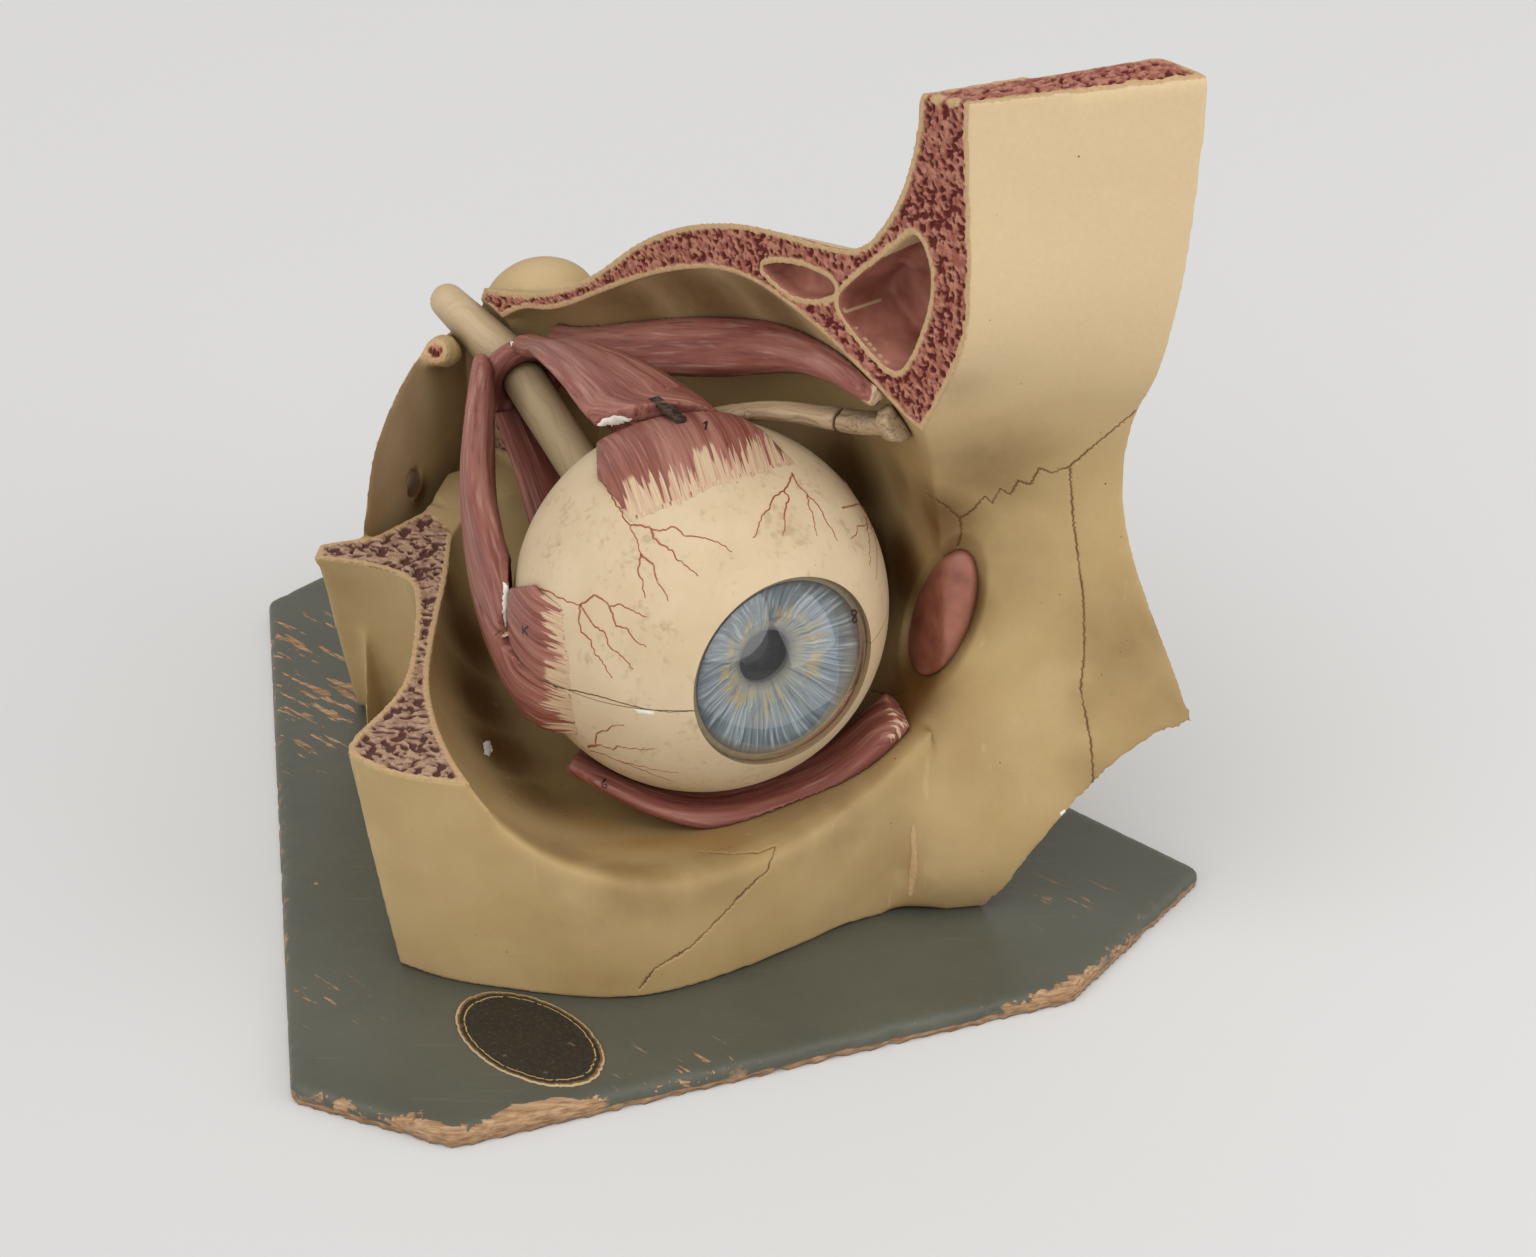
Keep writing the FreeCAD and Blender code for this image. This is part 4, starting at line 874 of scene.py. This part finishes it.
def add_sac(tree):
    """The lacrimal sac, a smooth bean in its hollow."""
    built = bmesh.new()
    c, s = math.cos(SAC_TURN), math.sin(SAC_TURN)
    rings = []
    for k in range(SAC_RINGS + 1):
        out = math.sin(math.pi / 2 * k / SAC_RINGS)
        rise = SAC_BULGE * math.sqrt(max(1 - out * out, 0)) - FOSSA_DEPTH
        rings.append([])
        for turn in turns(SAC_TURNS):
            u, v = SAC_HALF[0] * out * math.cos(turn), SAC_HALF[1] * out * math.sin(turn) * SAC_SLACK
            found = on_surface(tree, SAC_MIDDLE[0] + u * c - v * s, SAC_MIDDLE[1] + u * s + v * c)
            rings[-1].append(built.verts.new(found + SAC_OUT * rise))
    skin(built, rings)
    bmesh.ops.remove_doubles(built, verts=rings[0], dist=0.01 * MM)
    bmesh.ops.recalc_face_normals(built, faces=built.faces)
    piece(made_of("lacrimal_sac_cast", built), "orbit", "sac_paint", "lacrimal_sac")


def smoothed(mesh, line, strength, low, high, rounds, where=None):
    """Smooths a shape within high of a line, fully within low of it, and only in the places where it is let."""
    places = points_of(mesh)
    weight = strength * (1 - smooth_step(distances(places, line), low, high))
    if where:
        weight = weight * where(places)
    move_to(mesh, relaxed(places, edges_of(mesh), weight, rounds))


def outer(places):
    """Which places lie on the outside of the bones and away from the saw cuts."""
    across = places @ ACROSS
    clear = (np.abs(across - ROOF_SAW) > 4 * MM) & (np.abs(places[:, 2] - LATERAL_SAW) > 4 * MM)
    return clear & ((across > 60 * MM) | (places[:, 1] > 50 * MM))


def add_bones():
    """The plaster casting of all the bones, with its sawn marrow, sutures, stains, painted shade and painted light,
    and air cells.
    """
    thing = shape_of("bone_casting", BONES, BONE_GRID, 7, SINUS_BACKING, Matrix((ACROSS, ALONG, (0, 0, 1))))
    snapped(thing, BONES, SINUS_BACKING)
    tree = tree_of(thing)
    step_line = kd_of([p for p in (on_surface(tree, x, y) for x, y in SMOOTHED_STEP + SOFT_RIM) if p])
    smoothed(thing.data, step_line, 0.9, 5 * MM, 13 * MM, 60)
    smoothed(thing.data, kd_of(sharp_places(thing.data)), 0.6, 2 * MM, 4 * MM, 25, outer)
    tree = tree_of(thing)
    pixels = [q for k, line in enumerate(SUTURES) for q in drawn(line, 1.2, 1.3, k)]
    cracks = kd_of([p for p in (on_surface(tree, *q) for q in pixels) if p])
    finer(thing, near_planes, 2)
    finer(thing, lambda middles: distances(middles, cracks) < 3 * MM, 2)

    mesh = thing.data
    places, facing = points_of(mesh), normals_of(mesh)
    sawn, flat = sawn_faces(places, facing)
    border = kd_of(places[near_planes(places) & ~sawn])
    rim = distances(places[sawn], border) + 0.5 * MM * roughly(places[sawn], 3 * MM, 2, 2.0)
    inner, pit, crack, sinus = np.zeros((4, len(places)))
    inner[sawn] = smooth_step(rim, RIM_WIDTH * 0.7, RIM_WIDTH * 1.1)
    red = smooth_step(places[:, 2], REDDER_ABOVE, REDDER_ABOVE + 5 * MM)
    pit[sawn] = np.where(red[sawn] > 0.5, pits(flat[sawn], 2.1 * MM, 4, 1.4), pits(flat[sawn], 2.7 * MM, 7, 1.8))
    pit *= inner
    from_crack = distances(places, cracks)
    near = from_crack < 2 * MM
    wide = CRACK_WIDTH * (0.95 + 0.5 * roughly(places[near], 5 * MM, 2, 4.0))
    crack[near] = np.exp(-(from_crack[near] / wide) ** 2)
    for x, y, reach in SINUS_SEEDS:
        found = flooded(mesh, on_surface(tree, x, y), reach, sawn)
        sinus = np.maximum(sinus, enclosed(found, places, facing, tree, reach * 1.35))
    # stain holds brown airbrushing and painted shade; pale holds painted light
    store(mesh, sawn=sawn * 1.0, inner=inner, pit=pit, red=red, crack=crack, sinus=sinus,
          stain=spots(places, tree, STAINS_AND_SHADE), pale=spots(places, tree, PAINTED_LIGHT), ochre=spots(places, tree, OCHRE))
    hand = (roughly(places, 30 * MM, 2, 1.0) * 0.35 * MM - 0.3 * MM) * (1 - sawn)
    fossa = 1 - smooth_step(sac_reach(places, facing, tree), 0.95, 1.3)
    sunk = facing * (hand - pit * PIT_DEPTH - crack * CRACK_DEPTH)[:, None]
    move_to(mesh, places + sunk - (fossa * FOSSA_DEPTH)[:, None] * SAC_OUT)
    add_sac(tree)
    piece(thing, "orbit", "bone_paint", *BONES)


# ---------------------------------------------------------------- muscles, tendons and nerve
# painted shade falls on the faces turned this way: down and in towards the eye
SHADED_SIDE = Vector((0.55, 0.0, -0.83))
FRAY_LENGTH = 7 * MM


def centre_line(places, origin, slabs=16, fine=240):
    """A smooth line through the middle of a cord that leads away from origin."""
    reach = away_from(origin, places)
    slab = np.clip((reach - reach.min()) / np.ptp(reach) * slabs, 0, slabs - 1).astype(int)
    middles = np.array([places[slab == k].mean(axis=0) for k in range(slabs) if (slab == k).any()])
    share = np.linspace(0, 1, len(middles))
    line = np.stack([np.interp(np.linspace(0, 1, fine), share, middles[:, k]) for k in range(3)], axis=1)
    padded = np.pad(line, ((10, 10), (0, 0)), "reflect", reflect_type="odd")
    return np.stack([np.convolve(padded[:, k], np.ones(21) / 21, "valid") for k in range(3)], axis=1)


def fibre_frame(places, origin):
    """Each place as (along, across, away from the eye) of a cord, the cord's half width and its direction."""
    line = centre_line(places, origin)
    ahead = np.gradient(line, axis=0)
    lengths = np.linalg.norm(ahead, axis=1)
    ahead /= lengths[:, None]
    run = np.cumsum(lengths)
    out = line - EYE
    out -= (out * ahead).sum(axis=1)[:, None] * ahead
    out /= np.linalg.norm(out, axis=1)[:, None]
    tree = kd_of(line)
    nearest = np.array([tree.find(p)[1] for p in places])
    offset = places - line[nearest]
    across = (offset * np.cross(ahead, out)[nearest]).sum(axis=1)
    away = (offset * out[nearest]).sum(axis=1)
    along = run[nearest] + (offset * ahead[nearest]).sum(axis=1)
    half = np.full(len(line), 0.1 * MM)
    np.maximum.at(half, nearest, np.abs(across))
    half = np.convolve(np.pad(half, 12, "edge"), np.ones(25) / 25, "valid")
    return np.stack((along, across, away), axis=1), half[nearest], ahead[nearest]


def front_edge(across, forward, width=3 * MM):
    """The frontmost reach of a shape at each place across it."""
    bins = np.round((across - across.min()) / width).astype(int)
    reach = np.full(bins.max() + 1, np.inf)
    np.minimum.at(reach, bins, forward)
    known = np.isfinite(reach)
    centres = across.min() + np.arange(len(reach)) * width
    return np.interp(across, centres[known], reach[known])


def thinned(places, behind, fade, share=1.0):
    """The places of a layer on the eyeball drawn down to it where they are less than fade behind its edge."""
    from_eye = places - EYE
    radius = np.linalg.norm(from_eye, axis=1)
    rise = radius - RADIUS
    thin = 0.04 + 0.96 * smooth_step(behind, 0, fade)
    lifted = np.where(rise > 0.2 * MM, rise * thin, rise) - 0.12 * MM * (1 - smooth_step(behind, 0, 2 * MM))
    return from_eye * ((RADIUS + rise + (lifted - rise) * share) / radius)[:, None] + EYE


def add_cord(node, paint, origin, body="orbit", depth=0.35 * MM, fray_end=1, fray_most=0.0, cut=False,
             fade=0.0, deep=0.0):
    """A muscle, tendon or nerve with its fibres along it. Ends are 1 for the far one, -1 for the near one."""
    thing = shape_of(node + "_fibres", [node], 0.9 * MM)
    mesh = thing.data
    places, facing = points_of(mesh), normals_of(mesh)
    grain, half, ahead = fibre_frame(places, origin)
    along = grain[:, 0]
    grain[:, 1] *= np.median(half) / half
    from_end = along.max() - along if fray_end > 0 else along - along.min()
    fray = fray_most * (1 - np.clip(from_end / FRAY_LENGTH, 0, 1))
    ridges = roughly(grain * np.array((0.06, 1.0, 0.5)), 2.6 * MM, 3, 5.0)
    flat_end = smooth_step((facing * ahead).sum(axis=1), 0.5, 0.8) * (along.max() - along < 8 * MM) * cut
    moved = places + facing * (ridges * depth * (1 - flat_end))[:, None]
    if fade:
        low = smooth_step(EYE.z - places[:, 2], 2.5 * MM, 5 * MM)
        under = low > 0
        behind = np.full(len(places), fade)
        behind[under] = places[under, 1] - front_edge(places[under, 2], places[under, 1])
        fray = (1 - np.clip(behind / fade, 0, 1)) * low
        moved = thinned(moved, behind, fade, low)
    # the sides turned down and inwards are painted darker, as shade
    store(mesh, fibre=grain / MM, fray=fray, cut=flat_end, deep=smooth_step(facing @ SHADED_SIDE, 0.0, 0.9) * deep)
    move_to(mesh, moved)
    piece(thing, body, paint, node)


def add_insertion(node, side_axis, fade, slant=0.0):
    """A muscle's front end on the eyeball, thinned to nothing and painted out into the cream."""
    thing = shape_of(node + "_fibres", [node], 0.8 * MM)
    mesh = thing.data
    places, facing = points_of(mesh), normals_of(mesh)
    from_eye = places - EYE
    across, forward = from_eye[:, side_axis], from_eye[:, 1]
    behind = forward - front_edge(across, forward)
    across = across * math.cos(slant) - forward * math.sin(slant)
    radius = np.linalg.norm(from_eye, axis=1)
    rise = radius - RADIUS
    ridges = roughly(np.stack((across, behind * 0.07, rise), axis=1), 2.2 * MM, 3, 3.0) * 0.25 * MM
    ridged = places + from_eye * (np.where(rise > 0.2 * MM, ridges, 0) / radius)[:, None]
    store(mesh, fibre=np.stack((behind, across, rise), axis=1) / MM, fray=1 - np.clip(behind / fade, 0, 1),
          cut=smooth_step(facing[:, 1], 0.6, 0.85))
    move_to(mesh, thinned(ridged, behind, 1.3 * fade))
    piece(thing, "upper_half", "muscle_paint", node)


def add_soft_parts():
    add_cord("superior_rectus", "muscle_paint", APEX, "superior_rectus", cut=True)
    add_cord("lateral_rectus", "muscle_paint", APEX, fade=15 * MM, deep=1.0)
    for node in ("medial_rectus", "inferior_rectus"):
        add_cord(node, "muscle_paint", APEX, deep=1.0)
    add_cord("superior_oblique", "muscle_paint", APEX, fray_most=0.6, deep=1.0)
    low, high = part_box("inferior_oblique")
    add_cord("inferior_oblique", "muscle_paint", (high.x, low.y, high.z), fray_end=-1, fray_most=0.55)
    behind = APEX + Vector((0, 60, 0)) * MM
    add_cord("tendinous_ring", "muscle_paint", behind)
    add_insertion("superior_insertion", 0, 17 * MM, math.radians(15))
    add_insertion("lateral_insertion_upper", 2, 11 * MM)
    add_insertion("medial_insertion_upper", 2, 12 * MM)
    for node in ("optic_nerve", "optic_nerve_stub"):
        add_cord(node, "nerve_paint", behind, depth=0.08 * MM)
    beside = Vector((-60, 0, 170)) * MM
    add_cord("oblique_tendon", "tendon_paint", beside, "upper_half", cut=True)
    for node in ("trochlear_tendon", "trochlea"):
        add_cord(node, "tendon_paint", beside)


# ---------------------------------------------------------------- eyeball
IRIS_OUT = 29.5 * MM
IRIS_IN = 9 * MM
IRIS_FRONT = -48.2 * MM
IRIS_BACK = -39.6 * MM
IRIS_RAYS = 900
IRIS_RINGS = 70
IRIS_LIP = 1.6 * MM
IRIS_LEDGE = 33.2 * MM
IRIS_THICK = 1.2 * MM


def iris_marks(turn, t):
    """Lightness, darkness, yellow and ridge of the iris at a turn and a share of the way out."""
    bend = noise.noise(Vector((math.cos(turn) * 3, math.sin(turn) * 3, t * 2))) * 0.06
    c, s = math.cos(turn + bend), math.sin(turn + bend)
    rays = noise.noise(Vector((c * 22, s * 22, t * 1.8)))
    fine = noise.noise(Vector((c * 58, s * 58, t * 2.5 + 7)))
    broad = noise.noise(Vector((c * 9, s * 9, t * 0.9)))
    collar = math.exp(-((t - 0.3 - 0.04 * broad) / 0.05) ** 2)
    reach = min(max((t - 0.1) / 0.2, 0), 1) * min(max((1 - t) / 0.15, 0), 1)
    light = min(max((rays + 0.7 * fine + 0.2 * broad) * 1.9 - 0.1, 0), 1) * reach
    dark = min(max((-rays - 0.5 * fine) * 1.8 - 0.25, 0), 1) * 0.8
    yellow = min(max(noise.noise(Vector((c * 6, s * 6, t * 4 + 3))) * 3 + 0.1, 0), 1)
    yellow *= math.exp(-((t - 0.32) / 0.2) ** 2)
    return light * 0.85, dark, yellow * 0.7, 0.45 * (light - 0.6 * dark) + 0.5 * collar


def add_iris():
    """The iris as a shallow cone of raised strokes round the pupil, with its collarette and flecks."""
    built = bmesh.new()
    marks, rings = [], []
    for k in range(IRIS_RINGS + 1):
        t = k / IRIS_RINGS
        radius = IRIS_IN + (IRIS_OUT - IRIS_IN) * t
        rings.append([])
        for turn in turns(IRIS_RAYS):
            *stripes, ridge = iris_marks(turn, t)
            depth = IRIS_BACK + (IRIS_FRONT - IRIS_BACK) * t ** 0.9 - ridge * MM
            corner = (radius * math.cos(turn), depth, EYE.z + radius * math.sin(turn))
            rings[-1].append(built.verts.new(corner))
            marks.append((*stripes, t))
    rings.insert(0, [built.verts.new(v.co + Vector((0, IRIS_LIP, 0))) for v in rings[0]])
    marks += [(0, 0, 0, 0)] * IRIS_RAYS
    for growth, step in ((1.008, 0.0), (IRIS_LEDGE / IRIS_OUT, 0.0), (IRIS_LEDGE / IRIS_OUT, IRIS_THICK)):
        widen = Matrix.Diagonal((growth, 1, growth))
        rings.append([built.verts.new(widen @ (v.co - EYE) + EYE + Vector((0, step, 0)))
                      for v in rings[IRIS_RINGS + 1]])
        marks += [(0, 0, 0, 1.1)] * IRIS_RAYS
    skin(built, rings)
    thing = made_of("iris_disc", built)
    store(thing.data, **dict(zip(("stroke", "groove", "fleck", "out"), np.array(marks).T)))
    piece(thing, "orbit", "iris_paint", "iris")


VESSEL_WIDTH = 0.34 * MM
UPPER_VESSELS = (
    ((600, 475), (612, 498), (626, 521), (637, 539), (641, 554)),
    ((641, 554), (638, 571), (643, 583), (645, 598)), ((641, 554), (653, 564), (657, 580), (664, 591), (668, 601)),
    ((631, 525), (640, 525), (651, 529), (660, 531), (674, 527), (685, 536), (702, 538), (718, 542), (732, 552)),
    ((651, 529), (653, 538), (662, 545), (672, 550), (676, 559), (688, 567), (698, 576)),
    ((792, 473), (790, 481), (784, 491), (773, 498), (770, 508), (762, 515), (758, 528), (753, 538)),
    ((784, 491), (789, 498), (785, 510), (785, 524), (783, 536)),
    ((792, 473), (797, 484), (807, 494), (808, 504), (813, 515), (817, 536)),
    ((807, 494), (819, 507), (826, 521), (833, 531), (838, 541)),
    ((842, 508), (850, 506), (859, 504), (867, 512), (867, 524), (857, 526), (856, 535), (851, 539)),
    ((867, 524), (869, 543), (870, 566)), ((869, 520), (876, 543), (877, 563), (876, 580)),
    ((533, 587), (550, 592), (567, 602), (580, 605)),
    ((580, 605), (587, 601), (594, 595), (602, 599), (609, 606), (620, 604), (631, 610), (647, 617)),
    ((609, 606), (613, 617), (616, 626), (626, 628), (634, 639), (646, 647)),
    ((580, 605), (588, 617), (595, 627), (605, 633), (610, 647), (623, 657), (633, 669)),
    ((580, 605), (579, 617), (581, 632), (591, 640), (594, 653), (603, 664), (612, 678)),
)
LOWER_VESSELS = (
    ((588, 747), (596, 745), (596, 734), (606, 731), (612, 726), (624, 725)),
    ((588, 747), (601, 745), (613, 750), (617, 746), (629, 749), (655, 749)),
    ((588, 749), (603, 754), (620, 761), (637, 766), (662, 771), (679, 773)),
    ((620, 761), (637, 768), (654, 775), (674, 782)),
)
NUMERAL_WIDTH = 0.42 * MM
SEAM_WIDTH = 0.26 * MM
SEAM = (((553, 686), (580, 692), (601, 697), (622, 703), (645, 709), (668, 712), (697, 711)),)
UPPER_NUMERALS = (
    ((703, 424), (707, 421), (705, 430)),
    ((522, 626), (523, 634)), ((528, 626), (523, 630), (528, 635)),
)
GLASS_NUMERAL = (
    ((854, 610), (851, 612), (852, 615), (856, 617), (857, 621), (854, 623), (852, 620), (855, 616), (857, 612),
     (854, 610)),
)
LOWER_NUMERALS = (((605, 779), (602, 783), (602, 787), (606, 788), (607, 785), (603, 784)),)


def add_drawing(name, groups, width, body, paint, tree=None, wander=2.0):
    """Lines drawn on the eyeball, or on the piece of a tree, through points of the photograph."""
    lines = []
    for k, points in enumerate(groups):
        pixels = drawn(points, 3.0 if wander else 1.0, wander, k * 1.7)
        places = [on_surface(tree, *q) if tree else on_globe(*q) for q in pixels]
        thinning = 0.55 if wander else 0.0
        line = [(p, width * (1 - thinning * i / len(places))) for i, p in enumerate(places) if p]
        if len(line) > 1:
            lines.append(line)
    piece(strands(name, lines), body, paint, slot="sclera_paint")


def add_eyeball():
    paint_nodes("sclera_paint", "sclera_lower", "sclera_upper")
    paint_nodes("choroid_paint", "choroid_lower", "choroid_upper")
    for paint, node in (("clear_glass", "cornea"), ("lens_glass", "lens"), ("vitreous_cast", "vitreous_body"),
                        ("ciliary_paint", "ciliary_ring")):
        paint_nodes(paint, node)
    add_iris()
    add_drawing("vessels_upper", UPPER_VESSELS, VESSEL_WIDTH, "upper_half", "vessel_paint")
    add_drawing("vessels_lower", LOWER_VESSELS, VESSEL_WIDTH, "orbit", "vessel_paint")
    # painted shadow in the seam's gap, with some grime along it
    add_drawing("seam_line", SEAM, SEAM_WIDTH, "orbit", "seam_shade_and_grime", wander=0.6)
    for name, groups, on, body in (
            ("numeral_superior", UPPER_NUMERALS[:1], "superior_insertion_fibres", "upper_half"),
            ("numeral_lateral", UPPER_NUMERALS[1:], "lateral_insertion_upper_fibres", "upper_half"),
            ("numeral_inferior", LOWER_NUMERALS, "inferior_oblique_fibres", "orbit"),
            ("numeral_cornea", GLASS_NUMERAL, "cornea", "orbit")):
        add_drawing(name, groups, NUMERAL_WIDTH, body, "numeral_ink", tree_of(bpy.data.objects[on]), 0)


# ---------------------------------------------------------------- board, label and metal
SCUFFS = ((310, 700, 42, 0.9), (285, 650, 35, 0.8), (340, 745, 30, 0.7), (330, 1000, 26, 0.4), (1080, 900, 40, 0.3),
          (690, 1090, 26, 0.7))
CHIPPED = ((527, 1108, 22, 1.0), (1130, 960, 30, 0.8), (282, 960, 16, 0.6), (440, 1140, 24, 0.5),
           (1075, 995, 14, 0.9), (820, 1065, 20, 0.5))
GRAIN_TURN = math.radians(31)
SCRATCH_TURN = math.radians(74)
LABEL_TURN = math.radians(-79)
LABEL_RADII = (29.8 * MM, 17.5 * MM)
LABEL_TURNS = 220
LABEL_RINGS = 40


def rim_of(places, sectors=1440):
    """The outermost places of a flat convex shape, seen from above."""
    flat = places[:, :2] - places[:, :2].mean(axis=0)
    sector = np.floor((np.arctan2(flat[:, 1], flat[:, 0]) / math.tau + 0.5) * (sectors - 1)).astype(int)
    reach = np.linalg.norm(flat, axis=1)
    furthest = np.zeros(sectors)
    np.maximum.at(furthest, sector, reach)
    return places[reach > furthest[sector] - 1e-9] * np.array((1, 1, 0))


def add_board():
    thing = shape_of("painted_board", ["base_board"], 1.5 * MM, 2)
    mesh = thing.data
    places, facing = points_of(mesh), normals_of(mesh)
    edge = distances(places * np.array((1, 1, 0)), kd_of(rim_of(places)))
    near = np.clip(1 - edge / (5 * MM), 0, 1)
    dents = np.clip(roughly(places, 7 * MM, 3, 8.0) - 0.1, 0, 1) * near * 1.1 * MM
    tree = tree_of(thing)
    store(mesh, edge=edge / MM, scuff=spots(places, tree, SCUFFS), chipped=spots(places, tree, CHIPPED))
    move_to(mesh, places - facing * dents[:, None])
    piece(thing, "orbit", "board_paint", "base_board")


def add_label():
    """The oval label: a thin, slightly cockled sheet with a torn rim. It carries no print."""
    low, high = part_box("board_label")
    middle = (low + high) / 2
    long_way = Vector((math.cos(LABEL_TURN), math.sin(LABEL_TURN), 0)) * LABEL_RADII[0]
    wide_way = Vector((-math.sin(LABEL_TURN), math.cos(LABEL_TURN), 0)) * LABEL_RADII[1]
    built = bmesh.new()
    centre = built.verts.new((middle.x, middle.y, high.z))
    out = [0.0]
    rings = []
    for k in range(1, LABEL_RINGS + 1):
        share = k / LABEL_RINGS
        gilt = 0.12 * MM * math.exp(-((share - 0.88) / 0.012) ** 2)
        rings.append([])
        for turn in turns(LABEL_TURNS):
            c, s = math.cos(turn), math.sin(turn)
            reach = share * (1 - 0.035 * abs(noise.fractal(Vector((c * 5, s * 5, 2)), 0.8, 2, 4)))
            cockle = max(noise.noise(Vector((reach * c * 3, reach * s * 3, 0))) * 0.25, -0.1) * MM
            spot = middle + (long_way * c + wide_way * s) * reach
            rings[-1].append(built.verts.new((spot.x, spot.y, high.z + cockle + gilt)))
            out.append(share)
    rings.append([built.verts.new((v.co.x, v.co.y, low.z)) for v in rings[-1]])
    out += [1.0] * LABEL_TURNS
    for i in range(LABEL_TURNS):
        built.faces.new((centre, rings[0][i - 1], rings[0][i]))
    skin(built, rings[::-1])
    thing = made_of("oval_label", built)
    store(thing.data, out=np.array(out))
    piece(thing, "orbit", "label_paper", "board_label")


CHIPS = (
    ("chip_rectus_hook", "superior_rectus_fibres", "superior_rectus",
     [(594, 428), (603, 418), (617, 415), (633, 419), (622, 428), (606, 436), (593, 436)]),
    ("chip_rectus_root", "superior_rectus_fibres", "superior_rectus",
     [(500, 345), (508, 338), (514, 342), (508, 352), (510, 362), (504, 366), (498, 356)]),
    ("chip_lateral", "lateral_rectus_fibres", "orbit",
     [(503, 582), (510, 588), (514, 600), (508, 612), (506, 630), (502, 612)]),
    ("chip_insertion", "sclera_lower", "orbit", [(536, 683), (546, 684), (554, 688), (550, 692), (538, 689)]),
    ("chip_seam", "sclera_lower", "orbit", [(633, 708), (644, 710), (655, 712), (652, 715), (638, 713)]),
    ("chip_cheek", "bone_casting", "orbit", [(1060, 812), (1068, 808), (1074, 813), (1068, 819), (1061, 818)]),
    ("chip_floor", "bone_casting", "orbit", [(483, 742), (490, 740), (493, 750), (489, 757), (484, 753)]),
)
PINK_CHIP = [(978, 905), (986, 898), (994, 902), (990, 909), (980, 911)]


def add_chips():
    """Places where the paint has come off and the white plaster shows."""
    for name, on, body, outline in CHIPS:
        piece(patch(name, outline, bpy.data.objects[on], 0.45 * MM), body, "plaster", slot="bone_paint")
    pink = patch("chip_pink", PINK_CHIP, bpy.data.objects["bone_casting"], 0.4 * MM)
    piece(pink, "orbit", "pink_plaster", slot="bone_paint")


add_camera()
add_world()
add_light("key", "SUN", (-0.72, -0.48, 0.9), (0, 0, 0), KEY_LIGHT, angle=math.radians(80))
add_light("window", "AREA", (0.8, -1.08, 0.56), (0, -0.055, 0.13), WINDOW_POWER, shape="RECTANGLE",
          size=1.4, size_y=1.3)
add_floor()
mix_paints()
add_board()
add_label()
add_bones()
add_soft_parts()
add_eyeball()
paint_nodes("screw_steel", "base_screws", "seam_pins")
paint_nodes("hook_steel", "hook_strap")
add_chips()
